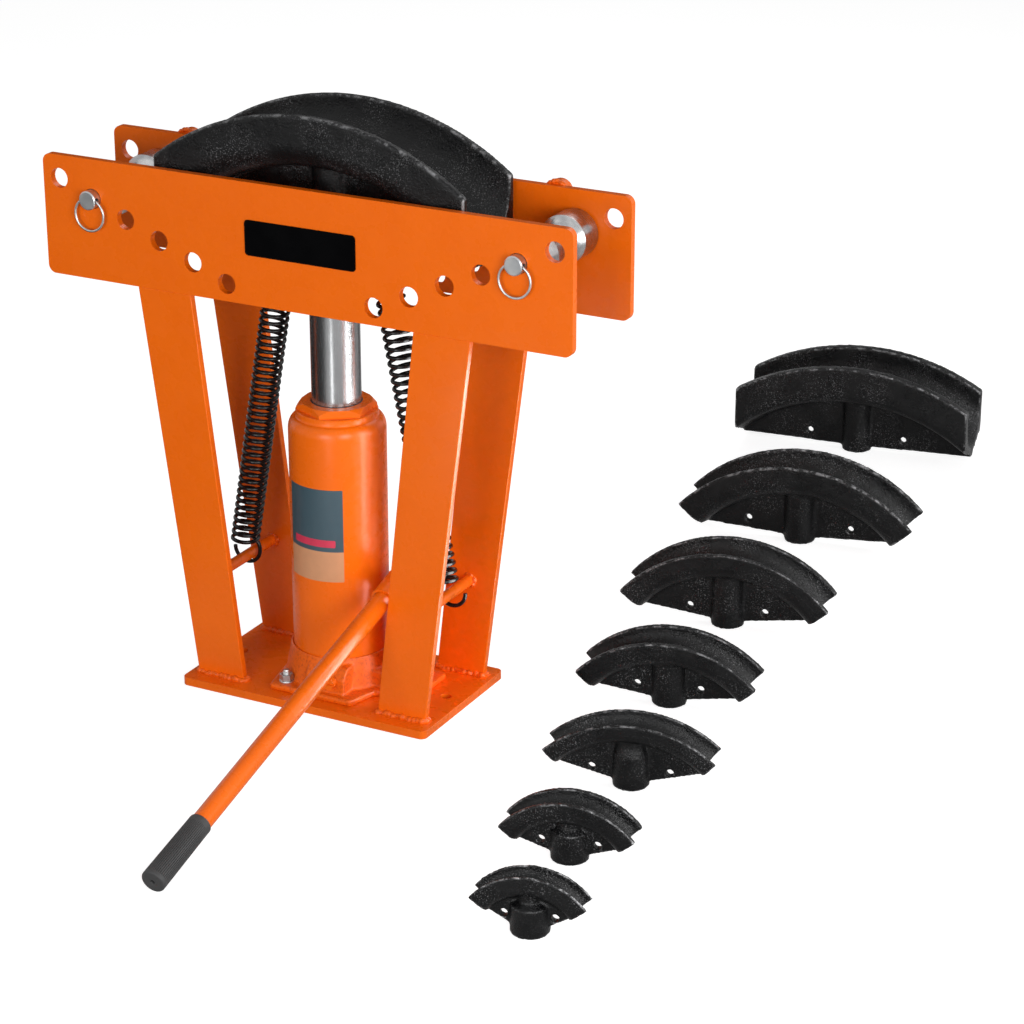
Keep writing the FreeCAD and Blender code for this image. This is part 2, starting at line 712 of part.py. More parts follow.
def roller(side):
    """Roller with a shallow groove between two bands, hanging on its pin by the bore."""
    length = PLATE_GAP - 2 * ROLLER_SIDE_GAP
    half = length / 2
    rim = ROLLER_D / 2
    waist = ROLLER_WAIST / 2
    bore = ROLLER_BORE_D / 2
    groove = half - ROLLER_BAND
    curve = Part.Arc(V(rim, -groove, 0), V(waist, 0, 0), V(rim, groove, 0)).toShape()
    corners = [
        V(rim, groove, 0),
        V(rim, half - ROLLER_CHAMFER, 0),
        V(rim - ROLLER_CHAMFER, half, 0),
        V(bore, half, 0),
        V(bore, -half, 0),
        V(rim - ROLLER_CHAMFER, -half, 0),
        V(rim, -half + ROLLER_CHAMFER, 0),
        V(rim, -groove, 0),
    ]
    edges = [curve]
    for start, end in zip(corners, corners[1:]):
        edges.append(Part.makeLine(start, end))
    solid = Part.Face(Part.Wire(edges)).revolve(V(0, 0, 0), ACROSS, 360)
    return solid.translated(V(side * PIN_HOLE_X, 0, ROLLER_Z))


def ring_plane():
    return -PLATE_OUTER - RING_STANDOFF


def ring_drop():
    """How far the ring's centre hangs below the cross hole it passes through."""
    mean = (RING_OD - RING_WIRE) / 2
    inside = math.sqrt(mean * mean - PIN_D * PIN_D / 4)
    return (mean + inside) / 2


def roller_pin(side):
    x = side * PIN_HOLE_X
    z = PIN_HOLE_Z
    front = -PLATE_OUTER - PIN_FRONT
    pin = rod(PIN_D, (x, front, z), (x, PLATE_OUTER + PIN_REAR, z))
    ends = [edge for edge in pin.Edges if isinstance(edge.Curve, Part.Circle)]
    pin = pin.makeChamfer(PIN_CHAMFER, ends)
    mean = (RING_OD - RING_WIRE) / 2
    hole = RING_WIRE + 2 * (mean - ring_drop()) + 2 * LOOSE
    half = PIN_D / 2
    return pin.cut(rod(hole, (x - half, ring_plane(), z), (x + half, ring_plane(), z)))


def pull_ring(side):
    mean = (RING_OD - RING_WIRE) / 2
    centre = V(side * PIN_HOLE_X, ring_plane(), PIN_HOLE_Z - ring_drop())
    return Part.makeTorus(mean, RING_WIRE / 2, centre, ACROSS)


def pump_barrel():
    """Pump cylinder, screwed upright into the casting's saddle."""
    place = (PUMP_X, PLUNGER_Y, SADDLE_TOP)
    top = (PUMP_X, PLUNGER_Y, BARREL_TOP)
    floor = (PUMP_X, PLUNGER_Y, SADDLE_TOP + BARREL_FLOOR)
    return rod(BARREL_D, place, top).cut(rod(PLUNGER_D + 2 * RUNNING, floor, top))


def pump_nut():
    nut = hexagon(PUMP_NUT_FLATS, (PUMP_X, PLUNGER_Y, BARREL_TOP), PUMP_NUT_HEIGHT)
    bore = rod(PLUNGER_D + 2 * RUNNING, (PUMP_X, PLUNGER_Y, BARREL_TOP), (PUMP_X, PLUNGER_Y, PUMP_NUT_TOP))
    return nut.cut(bore)


def pump_plunger():
    """Plunger with a flat head, slotted along Y for the lever's pin."""
    bottom = SADDLE_TOP + BARREL_FLOOR + STROKE_SPARE
    head = PUMP_NUT_TOP + PLUNGER_GAP
    top = head + PLUNGER_HEAD_HEIGHT
    shaft = rod(PLUNGER_D, (PUMP_X, PLUNGER_Y, bottom), (PUMP_X, PLUNGER_Y, head))
    half = PLUNGER_HEAD_WIDTH / 2
    deep = PLUNGER_HEAD_DEPTH / 2
    tongue = box((PUMP_X - half, PLUNGER_Y - deep, head), (PUMP_X + half, PLUNGER_Y + deep, top))
    tongue = round_edges(tongue, deep / 2, lambda edge: runs_along(edge, ALONG) and at_height(edge, top))
    plunger = shaft.fuse(tongue)
    height = LINK_PIN_D + 2 * LOOSE
    for shift in (-SLOT_REACH - LOOSE, SLOT_REACH + LOOSE):
        y = PLUNGER_Y + shift
        plunger = plunger.cut(rod(height, (PUMP_X - half, y, LINK_PIN_Z), (PUMP_X + half, y, LINK_PIN_Z)))
    low = (PUMP_X - half, PLUNGER_Y - SLOT_REACH - LOOSE, LINK_PIN_Z - height / 2)
    high = (PUMP_X + half, PLUNGER_Y + SLOT_REACH + LOOSE, LINK_PIN_Z + height / 2)
    return plunger.cut(box(low, high))


def fulcrum_post():
    """Post on the casting that carries the lever's pivot pin between the cheeks."""
    half = PLUNGER_HEAD_WIDTH / 2
    deep = POST_DEPTH / 2
    low = (PUMP_X - half, FULCRUM_Y - deep, SADDLE_TOP)
    high = (PUMP_X + half, FULCRUM_Y + deep, FULCRUM_Z)
    crown = rod(POST_DEPTH, (PUMP_X - half, FULCRUM_Y, FULCRUM_Z), (PUMP_X + half, FULCRUM_Y, FULCRUM_Z))
    post = box(low, high).fuse(crown)
    hole = LINK_PIN_D + 2 * SLIP
    return post.cut(rod(hole, (PUMP_X - half, FULCRUM_Y, FULCRUM_Z), (PUMP_X + half, FULCRUM_Y, FULCRUM_Z)))


def link_pin(y, z):
    reach = CHEEK_OUTER + LINK_PIN_PROUD
    return rod(LINK_PIN_D, (PUMP_X - reach, y, z), (PUMP_X + reach, y, z))


def handle_point(distance, lift=0.0):
    """A point on the handle's axis, or above it, measured inwards from the mouth."""
    tilt = math.radians(HANDLE_TILT)
    y = MOUTH_Y + distance * math.cos(tilt) - lift * math.sin(tilt)
    z = MOUTH_Z + distance * math.sin(tilt) + lift * math.cos(tilt)
    return (PUMP_X, y, z)


def cheek(offset):
    """One side plate of the lever, from under the socket back to both link pins."""
    margin = LINK_PIN_D
    under = SOCKET_D / 2 - SOCKET_WEB
    start = handle_point(SOCKET_LENGTH / 4, -under)
    crest = handle_point(SOCKET_LENGTH, under / 2)
    x = PUMP_X + offset
    outline = [
        (x, start[1], start[2]),
        (x, crest[1], crest[2]),
        (x, FULCRUM_Y, FULCRUM_Z + margin),
        (x, FULCRUM_Y + margin, FULCRUM_Z),
        (x, FULCRUM_Y, FULCRUM_Z - margin),
        (x, LINK_PIN_Y, LINK_PIN_Z - margin),
        (x, LINK_PIN_Y - margin, LINK_PIN_Z),
    ]
    return prism(outline, (CHEEK_THICKNESS, 0, 0))


def pump_lever():
    """Handle socket with two cheeks that straddle the plunger and the fulcrum post."""
    socket = rod(SOCKET_D, handle_point(0), handle_point(SOCKET_LENGTH))
    lever = socket.fuse([cheek(CHEEK_INNER), cheek(-CHEEK_OUTER)])
    bore = HANDLE_D + 2 * LOOSE
    lever = lever.cut(rod(bore, handle_point(0), handle_point(HANDLE_INSERT + STROKE_SPARE)))
    reach = CHEEK_OUTER
    for y, z, play in ((FULCRUM_Y, FULCRUM_Z, RUNNING), (LINK_PIN_Y, LINK_PIN_Z, SLIP)):
        lever = lever.cut(rod(LINK_PIN_D + 2 * play, (PUMP_X - reach, y, z), (PUMP_X + reach, y, z)))
    return lever


def handle_tube():
    inner = HANDLE_INSERT
    outer = HANDLE_INSERT - HANDLE_LENGTH + GRIP_FLOOR
    return tube(HANDLE_D, HANDLE_D - 2 * HANDLE_WALL, handle_point(outer), handle_point(inner))


def handle_grip():
    """Rubber sleeve, slightly wider towards its closed end."""
    end = HANDLE_INSERT - HANDLE_LENGTH
    tip = V(*handle_point(end))
    way = (V(*handle_point(end + GRIP_LENGTH)) - tip).normalize()
    sleeve = Part.makeCone(GRIP_END_D / 2, GRIP_TOP_D / 2, GRIP_LENGTH, tip, way)
    seat = rod(HANDLE_D + 2 * SLIP, handle_point(end + GRIP_FLOOR), handle_point(end + GRIP_LENGTH))
    hole = rod(GRIP_HOLE_D, handle_point(end), handle_point(end + GRIP_FLOOR))
    return sleeve.cut(seat).cut(hole)


def release_valve():
    """Screw in the front of the block, with a slotted round head."""
    face = -BLOCK_FRONT
    inner = face + VALVE_STEM_LENGTH
    tip = face - VALVE_HEAD_LENGTH
    stem = rod(VALVE_STEM_D, (VALVE_X, face, VALVE_Z), (VALVE_X, inner, VALVE_Z))
    head = rod(VALVE_HEAD_D, (VALVE_X, tip, VALVE_Z), (VALVE_X, face - LOOSE, VALVE_Z))
    neck = rod(VALVE_STEM_D, (VALVE_X, face - LOOSE, VALVE_Z), (VALVE_X, face, VALVE_Z))
    valve = stem.fuse([head, neck])
    half = VALVE_SLOT / 2
    reach = VALVE_HEAD_D / 2
    low = (VALVE_X - reach, tip, VALVE_Z - half)
    high = (VALVE_X + reach, tip + VALVE_SLOT, VALVE_Z + half)
    return valve.cut(box(low, high))


def flank_turn(size):
    """How far the rounding under the wall turns before it runs straight to the middle."""
    low = 0.0
    high = math.pi / 2
    for _ in range(50):
        turn = (low + high) / 2
        run = size.width / 2 - size.corner * (1 - math.cos(turn))
        drop = size.corner * math.sin(turn) + run / math.tan(turn)
        if drop > size.depth - size.wall:
            low = turn
        else:
            high = turn
    return turn


def corner_point(size, side, turn):
    """A point on the rounding under a rim's wall, so far round it from the wall."""
    reach = size.width / 2 - size.corner * (1 - math.cos(turn))
    return V(0, side * reach, size.radius - size.wall - size.corner * math.sin(turn))


def die_channel(size):
    """Grooved rim of a die about Y, centred on the origin, cut square or along radii."""
    groove = size.pipe / 2
    half = size.width / 2
    lip = size.radius - size.straight
    foot = size.radius - size.wall
    turn = flank_turn(size)
    edges = [Part.Arc(V(0, -groove, lip), V(0, 0, lip - groove), V(0, groove, lip)).toShape()]
    for side in SIDES.values():
        middle = corner_point(size, side, turn / 2)
        end = corner_point(size, side, turn)
        edges.append(Part.makeLine(V(0, side * groove, lip), V(0, side * groove, size.radius)))
        edges.append(Part.makeLine(V(0, side * groove, size.radius), V(0, side * half, size.radius)))
        edges.append(Part.makeLine(V(0, side * half, size.radius), V(0, side * half, foot)))
        edges.append(Part.Arc(V(0, side * half, foot), middle, end).toShape())
        edges.append(Part.makeLine(end, V(0, 0, size.radius - size.depth)))
    face = Part.Face(Part.Wire(Part.__sortEdges__(edges)))
    sweep = size.reach
    if size.square:
        sweep = math.degrees(math.asin(size.reach / (size.radius - size.depth)))
    face.rotate(V(0, 0, 0), ACROSS, -sweep)
    rim = face.revolve(V(0, 0, 0), ACROSS, 2 * sweep)
    if size.square:
        rim = rim.common(box((-size.reach, -half, 0), (size.reach, half, size.radius)))
    return rim


def rim_point(radius, reach, square):
    """Where the end of the rim lies at a radius from its centre, as x and z."""
    x = reach if square else radius * math.sin(math.radians(reach))
    return x, math.sqrt(radius * radius - x * x)


def die_web(size):
    """Flat web under the rim, sloping down on both sides to the boss."""
    centre = size.height - size.radius
    inner = size.radius - size.depth + WEB_THICKNESS / 2
    reach = size.reach - size.web_short
    tip, tip_z = rim_point(inner, reach, size.square)
    edge, edge_z = rim_point(size.radius - size.depth, reach, size.square)
    tip_z += centre
    edge_z += centre
    boss = (BOSS_D - WEB_THICKNESS) / 2
    half = WEB_THICKNESS / 2
    crown = Part.Arc(V(-tip, -half, tip_z), V(0, -half, centre + inner), V(tip, -half, tip_z)).toShape()
    corners = [
        V(tip, -half, tip_z),
        V(edge, -half, edge_z),
        V(boss, -half, WEB_START),
        V(-boss, -half, WEB_START),
        V(-edge, -half, edge_z),
        V(-tip, -half, tip_z),
    ]
    edges = [crown]
    for start, end in zip(corners, corners[1:]):
        edges.append(Part.makeLine(start, end))
    return Part.Face(Part.Wire(edges)).extrude(V(0, WEB_THICKNESS, 0))


def die_boss(name, top):
    """Socket of a die, straight up to the rim or narrowed on the way."""
    if name not in DIE_NECKS:
        return rod(BOSS_D, (0, 0, 0), (0, 0, top))
    full, taper, neck = DIE_NECKS[name]
    boss = rod(BOSS_D, (0, 0, 0), (0, 0, full))
    cone = Part.makeCone(BOSS_D / 2, neck / 2, taper, V(0, 0, full))
    return boss.fuse([cone, rod(neck, (0, 0, full), (0, 0, top))])


def die(name):
    """A bending die standing on its boss, with the boss centred on the origin."""
    size = DIE_SIZES[name]
    rim = die_channel(size).translated(V(0, 0, size.height - size.radius))
    boss = die_boss(name, size.height - size.depth + WEB_THICKNESS / 2)
    solid = rim.fuse([die_web(size), boss])
    solid = solid.cut(rod(SEAT_BORE_D, (0, 0, 0), (0, 0, SEAT_BORE_DEPTH)))
    for side in SIDES.values():
        start = (side * size.hole_x, -WEB_THICKNESS, size.hole_z)
        end = (side * size.hole_x, WEB_THICKNESS, size.hole_z)
        solid = solid.cut(rod(DIE_HOLE_D, start, end))
    return solid


def mounted_die():
    return die("die_3_inch").translated(V(0, 0, YOKE_FACE))


def loose_die(name):
    x, y, turn = LOOSE_DIES[name]
    solid = die(name)
    solid.rotate(V(0, 0, 0), UP, turn)
    return solid.translated(V(x, y, 0))


def save_frame():
    save("base_plate", base_plate())
    for row_name, row in ROWS.items():
        save("side_plate_" + row_name, side_plate(row))
        for side_name, side in SIDES.items():
            save("leg_" + row_name + "_" + side_name, leg(side, row))
    for side_name, side in SIDES.items():
        save("spring_rod_" + side_name, spring_rod(side))
    save("rear_stubs", rear_stubs())
    save("name_badge", name_badge())


def save_jack():
    save("jack_base", jack_base())
    save("jack_studs", jack_studs())
    save("jack_washers", jack_washers())
    save("jack_nuts", jack_nuts())
    save("jack_body", jack_body())
    save("filler_plug", filler_plug())
    save("jack_cylinder", jack_cylinder())
    save("gland_nut", gland_nut())
    save("ram_seal", ram_seal())
    save("release_valve", release_valve())


def save_ram():
    save("ram", ram())
    save("ram_piston", ram_piston())
    save("piston_seal", piston_seal())
    save("spring_yoke", spring_yoke())
    save("yoke_pins", yoke_pins())
    for side_name, side in SIDES.items():
        save("spring_" + side_name, spring(side))


def save_pump():
    save("pump_barrel", pump_barrel())
    save("pump_nut", pump_nut())
    save("pump_plunger", pump_plunger())
    save("fulcrum_post", fulcrum_post())
    save("fulcrum_pin", link_pin(FULCRUM_Y, FULCRUM_Z))
    save("plunger_pin", link_pin(LINK_PIN_Y, LINK_PIN_Z))
    save("pump_lever", pump_lever())
    save("handle_tube", handle_tube())
    save("handle_grip", handle_grip())


def save_rollers():
    for side_name, side in SIDES.items():
        save("roller_" + side_name, roller(side))
        save("roller_pin_" + side_name, roller_pin(side))
        save("pull_ring_" + side_name, pull_ring(side))


def save_dies():
    save("die_3_inch", mounted_die())
    for name in LOOSE_DIES:
        save(name, loose_die(name))


def main():
    os.makedirs("parts", exist_ok=True)
    save_frame()
    save_jack()
    save_ram()
    save_pump()
    save_rollers()
    save_dies()


main()
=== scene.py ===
"""Looks of a hydraulic pipe bender: welded frame, bottle jack, springs, rollers and bending dies.

Lengths are metres in the part's own frame: X along the side plates, Y across them, Z up,
with the ram's axis on Z and the underside of the base plate at zero.
"""

import json
import logging
import math
import random
from contextlib import contextmanager
from dataclasses import dataclass
from enum import Enum
from typing import Callable, Iterator, Sequence

import bmesh
import bpy
from mathutils import Matrix, Vector
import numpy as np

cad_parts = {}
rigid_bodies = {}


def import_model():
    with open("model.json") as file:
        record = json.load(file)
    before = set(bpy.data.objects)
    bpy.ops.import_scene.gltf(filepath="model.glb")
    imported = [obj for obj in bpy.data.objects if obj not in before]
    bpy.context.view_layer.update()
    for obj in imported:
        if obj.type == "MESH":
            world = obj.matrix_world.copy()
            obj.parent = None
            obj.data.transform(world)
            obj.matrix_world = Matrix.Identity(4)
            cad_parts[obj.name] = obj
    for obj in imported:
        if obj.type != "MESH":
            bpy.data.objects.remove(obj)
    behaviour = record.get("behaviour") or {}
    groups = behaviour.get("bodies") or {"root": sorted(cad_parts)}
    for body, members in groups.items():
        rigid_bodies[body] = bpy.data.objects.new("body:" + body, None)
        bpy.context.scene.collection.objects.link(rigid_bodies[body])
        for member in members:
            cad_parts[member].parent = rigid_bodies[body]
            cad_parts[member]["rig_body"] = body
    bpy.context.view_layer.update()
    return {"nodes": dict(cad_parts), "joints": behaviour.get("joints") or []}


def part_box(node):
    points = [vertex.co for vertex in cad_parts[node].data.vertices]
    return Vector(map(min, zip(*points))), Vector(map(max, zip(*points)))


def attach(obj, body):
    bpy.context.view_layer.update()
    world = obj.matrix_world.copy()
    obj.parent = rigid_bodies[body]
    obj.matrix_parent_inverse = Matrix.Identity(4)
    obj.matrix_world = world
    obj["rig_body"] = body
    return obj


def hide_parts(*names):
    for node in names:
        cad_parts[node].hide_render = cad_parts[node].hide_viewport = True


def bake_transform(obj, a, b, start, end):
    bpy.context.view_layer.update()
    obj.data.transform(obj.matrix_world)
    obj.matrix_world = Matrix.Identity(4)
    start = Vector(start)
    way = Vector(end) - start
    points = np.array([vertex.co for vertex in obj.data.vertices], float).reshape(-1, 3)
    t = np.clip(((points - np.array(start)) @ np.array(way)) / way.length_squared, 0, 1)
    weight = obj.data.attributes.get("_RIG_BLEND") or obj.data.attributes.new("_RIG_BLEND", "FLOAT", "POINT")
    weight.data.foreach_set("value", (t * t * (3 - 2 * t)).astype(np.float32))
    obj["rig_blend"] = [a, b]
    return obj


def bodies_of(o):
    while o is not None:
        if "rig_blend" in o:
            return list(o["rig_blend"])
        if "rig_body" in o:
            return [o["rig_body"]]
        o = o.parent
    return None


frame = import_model()

LOG = logging.getLogger("pipe_bender")

MM = 0.001
MERGE = MM / 500
FULL_TURN = 2 * math.pi
LUMP_SIZE = 14 * MM
LUMP_LEVEL = 0.62
UP = Vector((0, 0, 1))
ACROSS = Vector((0, 1, 0))
ALONG = Vector((1, 0, 0))

Colour = tuple[float, float, float]
Piece = bpy.types.Object
Socket = bpy.types.NodeSocket

BLACK: Colour = (0.0, 0.0, 0.0)
WHITE: Colour = (1.0, 1.0, 1.0)


class Slot(Enum):
    """Material slots of the record."""

    ORANGE = "orange_paint"
    BADGE = "badge_black"
    ZINC = "zinc"
    RAM = "polished_steel"
    CYLINDER = "cylinder_steel"
    ROLLER = "roller_steel"
    SPRING = "spring_black"
    DIE = "die_black"
    GRIP = "grip_black"
    SEAL = "seal_rubber"


class Side(Enum):
    """The two ends of the bender along X."""

    LEFT = -1
    RIGHT = 1

    @property
    def word(self) -> str:
        """The side's name as the CAD nodes spell it."""
        return self.name.lower()


# Selecting and shaping


@contextmanager
def editing(piece: Piece, kind: str = "FACE") -> Iterator[None]:
    """Opens a piece in edit mode with nothing selected, and leaves edit mode afterwards.

    Args:
        piece: The mesh object to edit.
        kind: What is selected inside, VERT, EDGE or FACE.
    """
    activate(piece)
    bpy.ops.object.mode_set(mode="EDIT")
    bpy.ops.mesh.select_mode(type=kind)
    bpy.ops.mesh.select_all(action="DESELECT")
    yield
    bpy.ops.object.mode_set(mode="OBJECT")


def activate(piece: Piece) -> None:
    """Makes a piece the only selected object and the active one."""
    bpy.ops.object.select_all(action="DESELECT")
    piece.select_set(True)
    bpy.context.view_layer.objects.active = piece


def pick_faces(test: Callable[[Vector, Vector], bool]) -> None:
    """Selects faces of the mesh in edit mode by their place and direction.

    Args:
        test: Takes a face's centre and normal and says whether to select it.
    """
    data = bpy.context.object.data
    mesh = bmesh.from_edit_mesh(data)
    for face in mesh.faces:
        if test(face.calc_center_median(), face.normal):
            face.select_set(True)
    bmesh.update_edit_mesh(data)


def pick_edges(test: Callable[[Vector, Vector], bool]) -> None:
    """Selects edges of the mesh in edit mode by their two ends.

    Args:
        test: Takes both ends of an edge and says whether to select it.
    """
    data = bpy.context.object.data
    mesh = bmesh.from_edit_mesh(data)
    for edge in mesh.edges:
        if test(edge.verts[0].co, edge.verts[1].co):
            edge.select_set(True)
    bmesh.update_edit_mesh(data)


def pick_points(test: Callable[[Vector], bool]) -> None:
    """Selects vertices of the mesh in edit mode by their place.

    Args:
        test: Takes a vertex's place and says whether to select it.
    """
    data = bpy.context.object.data
    mesh = bmesh.from_edit_mesh(data)
    for point in mesh.verts:
        if test(point.co):
            point.select_set(True)
    bmesh.update_edit_mesh(data)


def modify(piece: Piece, kind: str, **settings: object) -> None:
    """Adds a modifier to a piece and applies it.

    Args:
        piece: The mesh object to change.
        kind: The modifier's type, such as BEVEL.
        **settings: Values set on the modifier before it is applied.
    """
    activate(piece)
    bpy.ops.object.modifier_add(type=kind)
    modifier = piece.modifiers[-1]
    for name, value in settings.items():
        setattr(modifier, name, value)
    bpy.ops.object.modifier_apply(modifier=modifier.name)


def settle(piece: Piece) -> None:
    """Moves a piece's place, turn and scale into its mesh."""
    activate(piece)
    bpy.ops.object.transform_apply(location=True, rotation=True, scale=True)


def move_to(piece: Piece, place: Vector) -> None:
    """Moves a piece that was built about the origin to a place, in its mesh."""
    piece.location = place
    settle(piece)


def stand_along(piece: Piece, start: Vector, way: Vector) -> None:
    """Places a piece that was built up the Z axis from the origin along another line.

    Args:
        piece: The mesh object, built from the origin up Z.
        start: Where its origin goes.
        way: The direction that its Z axis takes.
    """
    piece.rotation_mode = "QUATERNION"
    piece.rotation_quaternion = UP.rotation_difference(way)
    piece.location = start
    settle(piece)


def drawn(name: str, points: Sequence[Vector]) -> Piece:
    """Draws an open line of vertices, one extrusion after another.

    Args:
        name: The new object's name.
        points: The line's points; a closed outline ends on its first point.

    Returns:
        The new mesh object, its line selected nowhere.
    """
    bpy.ops.object.select_all(action="DESELECT")
    bpy.ops.mesh.primitive_plane_add(size=MM)
    piece = bpy.context.object
    piece.name = name
    with editing(piece, "VERT"):
        bpy.ops.mesh.select_all(action="SELECT")
        bpy.ops.mesh.merge(type="CENTER")
        bpy.ops.transform.translate(value=points[0])
        for start, end in zip(points, points[1:]):
            bpy.ops.mesh.extrude_region_move(TRANSFORM_OT_translate={"value": end - start})
    return piece


def tidy_shell() -> None:
    """Merges doubles and turns the faces outwards, in edit mode."""
    bpy.ops.mesh.select_all(action="SELECT")
    bpy.ops.mesh.remove_doubles(threshold=MERGE)
    bpy.ops.mesh.normals_make_consistent(inside=False)


def turned(name: str, outline: Sequence[tuple[float, float]], steps: int) -> Piece:
    """Turns an outline about the Z axis, as on a lathe.

    Args:
        name: The new object's name.
        outline: Radius and height of each corner. It starts and ends on the axis, or on the
            same point for a piece with a bore.
        steps: Facets round the axis.

    Returns:
        The new closed mesh object.
    """
    piece = drawn(name, [Vector((radius, 0, height)) for radius, height in outline])
    with editing(piece, "VERT"):
        bpy.ops.mesh.select_all(action="SELECT")
        bpy.ops.mesh.spin(steps=steps, angle=FULL_TURN, center=(0, 0, 0), axis=UP)
        tidy_shell()
    return piece


def arc(centre: tuple[float, float], radii: tuple[float, float], turn: tuple[float, float],
        count: int) -> list[tuple[float, float]]:
    """Points on a quarter of an ellipse or less, for a turned outline.

    Args:
        centre: Radius and height of the curve's centre.
        radii: Half axes along the radius and the height.
        turn: First and last angle in degrees.
        count: Number of steps between them.

    Returns:
        The points, both ends included.
    """
    points = []
    for step in range(count + 1):
        angle = math.radians(turn[0] + (turn[1] - turn[0]) * step / count)
        points.append((centre[0] + radii[0] * math.cos(angle), centre[1] + radii[1] * math.sin(angle)))
    return points


def smooth(piece: Piece, angle: float = 35.0) -> None:
    """Shades a piece smooth, except at edges where its faces meet at more than an angle in degrees."""
    activate(piece)
    bpy.ops.object.shade_smooth_by_angle(angle=math.radians(angle))


def soften(piece: Piece, width: float, segments: int = 3, angle: float = 30.0) -> None:
    """Rounds a piece's sharp edges and keeps its flat faces flat.

    Args:
        piece: The mesh object to change.
        width: How far the rounding reaches over each face.
        segments: Steps across the rounding.
        angle: Least angle in degrees between faces at an edge that is rounded.
    """
    modify(piece, "BEVEL", width=width, segments=segments, limit_method="ANGLE",
           angle_limit=math.radians(angle), use_clamp_overlap=True, miter_outer="MITER_ARC")
    smooth(piece, 40.0)
    modify(piece, "WEIGHTED_NORMAL", weight=80, keep_sharp=True)


def copied(node: str, name: str) -> Piece:
    """Copies a CAD node into a clean mesh with its flat faces whole.

    Args:
        node: The node's name.
        name: The new object's name.

    Returns:
        The new mesh object.
    """
    source = frame["nodes"][node]
    data = source.data.copy()
    piece = bpy.data.objects.new(name, data)
    bpy.context.scene.collection.objects.link(piece)
    data.materials.clear()
    activate(piece)
    bpy.ops.mesh.customdata_custom_splitnormals_clear()
    with editing(piece, "EDGE"):
        tidy_shell()
        bpy.ops.mesh.dissolve_limited(angle_limit=math.radians(0.3), use_dissolve_boundaries=False)
        bpy.ops.mesh.select_all(action="SELECT")
        bpy.ops.mesh.normals_make_consistent(inside=False)
    return piece


def cast(piece: Piece, grain: float, rounds: int, lumps: float = 0.0) -> None:
    """Rounds every edge of a piece as on a sand casting.

    Args:
        piece: The mesh object to change.
        grain: Size of the new mesh's faces.
        rounds: How many times the surface is smoothed.
        lumps: Height of the uneven skin, if it has one.
    """
    modify(piece, "REMESH", mode="VOXEL", voxel_size=grain)
    modify(piece, "SMOOTH", factor=0.5, iterations=rounds)
    if lumps:
        texture = bpy.data.textures.new(piece.name + "_skin", "CLOUDS")
        texture.noise_scale = LUMP_SIZE
        texture.noise_depth = 2
        modify(piece, "DISPLACE", texture=texture, strength=lumps, mid_level=LUMP_LEVEL,
               texture_coords="GLOBAL")
    activate(piece)
    bpy.ops.object.shade_smooth()


def joined(copies: Sequence[Piece], name: str) -> Piece:
    """Joins several pieces into the first and names it.

    Args:
        copies: The pieces.
        name: The joined object's name.

    Returns:
        The joined object.
    """
    bpy.ops.object.select_all(action="DESELECT")
    for piece in copies:
        piece.select_set(True)
    bpy.context.view_layer.objects.active = copies[0]
    if len(copies) > 1:
        bpy.ops.object.join()
    copies[0].name = name
    return copies[0]


def carve(piece: Piece, tool: Piece, way: str) -> None:
    """Cuts a piece with a tool and deletes the tool.

    Args:
        piece: The mesh object that is cut.
        tool: The mesh object that cuts it.
        way: DIFFERENCE, INTERSECT or UNION.
    """
    modify(piece, "BOOLEAN", operation=way, object=tool, solver="EXACT")
    bpy.data.objects.remove(tool)


def centre_line(node: str, way: Vector) -> tuple[Vector, Vector]:
    """Finds the axis of a round CAD node.

    Args:
        node: The node's name.
        way: Unit vector along the axis.

    Returns:
        The two ends of the node's centre line.
    """
    points = [vertex.co for vertex in frame["nodes"][node].data.vertices]
    reach = [point.dot(way) for point in points]
    low = [min(axis) for axis in zip(*[point - way * point.dot(way) for point in points])]
    high = [max(axis) for axis in zip(*[point - way * point.dot(way) for point in points])]
    middle = (Vector(low) + Vector(high)) / 2
    middle -= way * middle.dot(way)
    return middle + way * min(reach), middle + way * max(reach)


def body_of(node: str) -> str:
    """The body that a CAD node moves with."""
    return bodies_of(frame["nodes"][node])[0]


def finish(piece: Piece, material: bpy.types.Material, slot: Slot, *nodes: str, body: str = "") -> Piece:
    """Dresses a piece and hangs it on its body.

    Args:
        piece: The finished mesh object.
        material: Its material.
        slot: The record's slot that the finish belongs to; not used.
        *nodes: CAD nodes that the piece stands for.
        body: The body it rides on, or that of the first node if left out.

    Returns:
        The same object.
    """
    settle(piece)
    piece.data.materials.clear()
    piece.data.materials.append(material)
    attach(piece, body or body_of(nodes[0]))
    if nodes:
        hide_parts(*nodes)
    LOG.info("%s: %d faces", piece.name, len(piece.data.polygons))
    return piece


def refined(node: str, ending: str, width: float, material: bpy.types.Material, slot: Slot,
            segments: int = 3) -> None:
    """Copies a CAD node, rounds its sharp edges and dresses the copy.

    Args:
        node: The node's name.
        ending: What the copy's name adds to the node's.
        width: How far the rounding reaches over each face.
        material: The copy's material.
        slot: The record's slot that the finish belongs to.
        segments: Steps across the rounding.
    """
    piece = copied(node, f"{node}_{ending}")
    soften(piece, width, segments)
    finish(piece, material, slot, node)


def dress(node: str, material: bpy.types.Material) -> None:
    """Gives a CAD node that stays in view its finish."""
    data = frame["nodes"][node].data
    data.materials.clear()
    data.materials.append(material)
    LOG.info("%s: kept, %s", node, material.name)


# Finishes


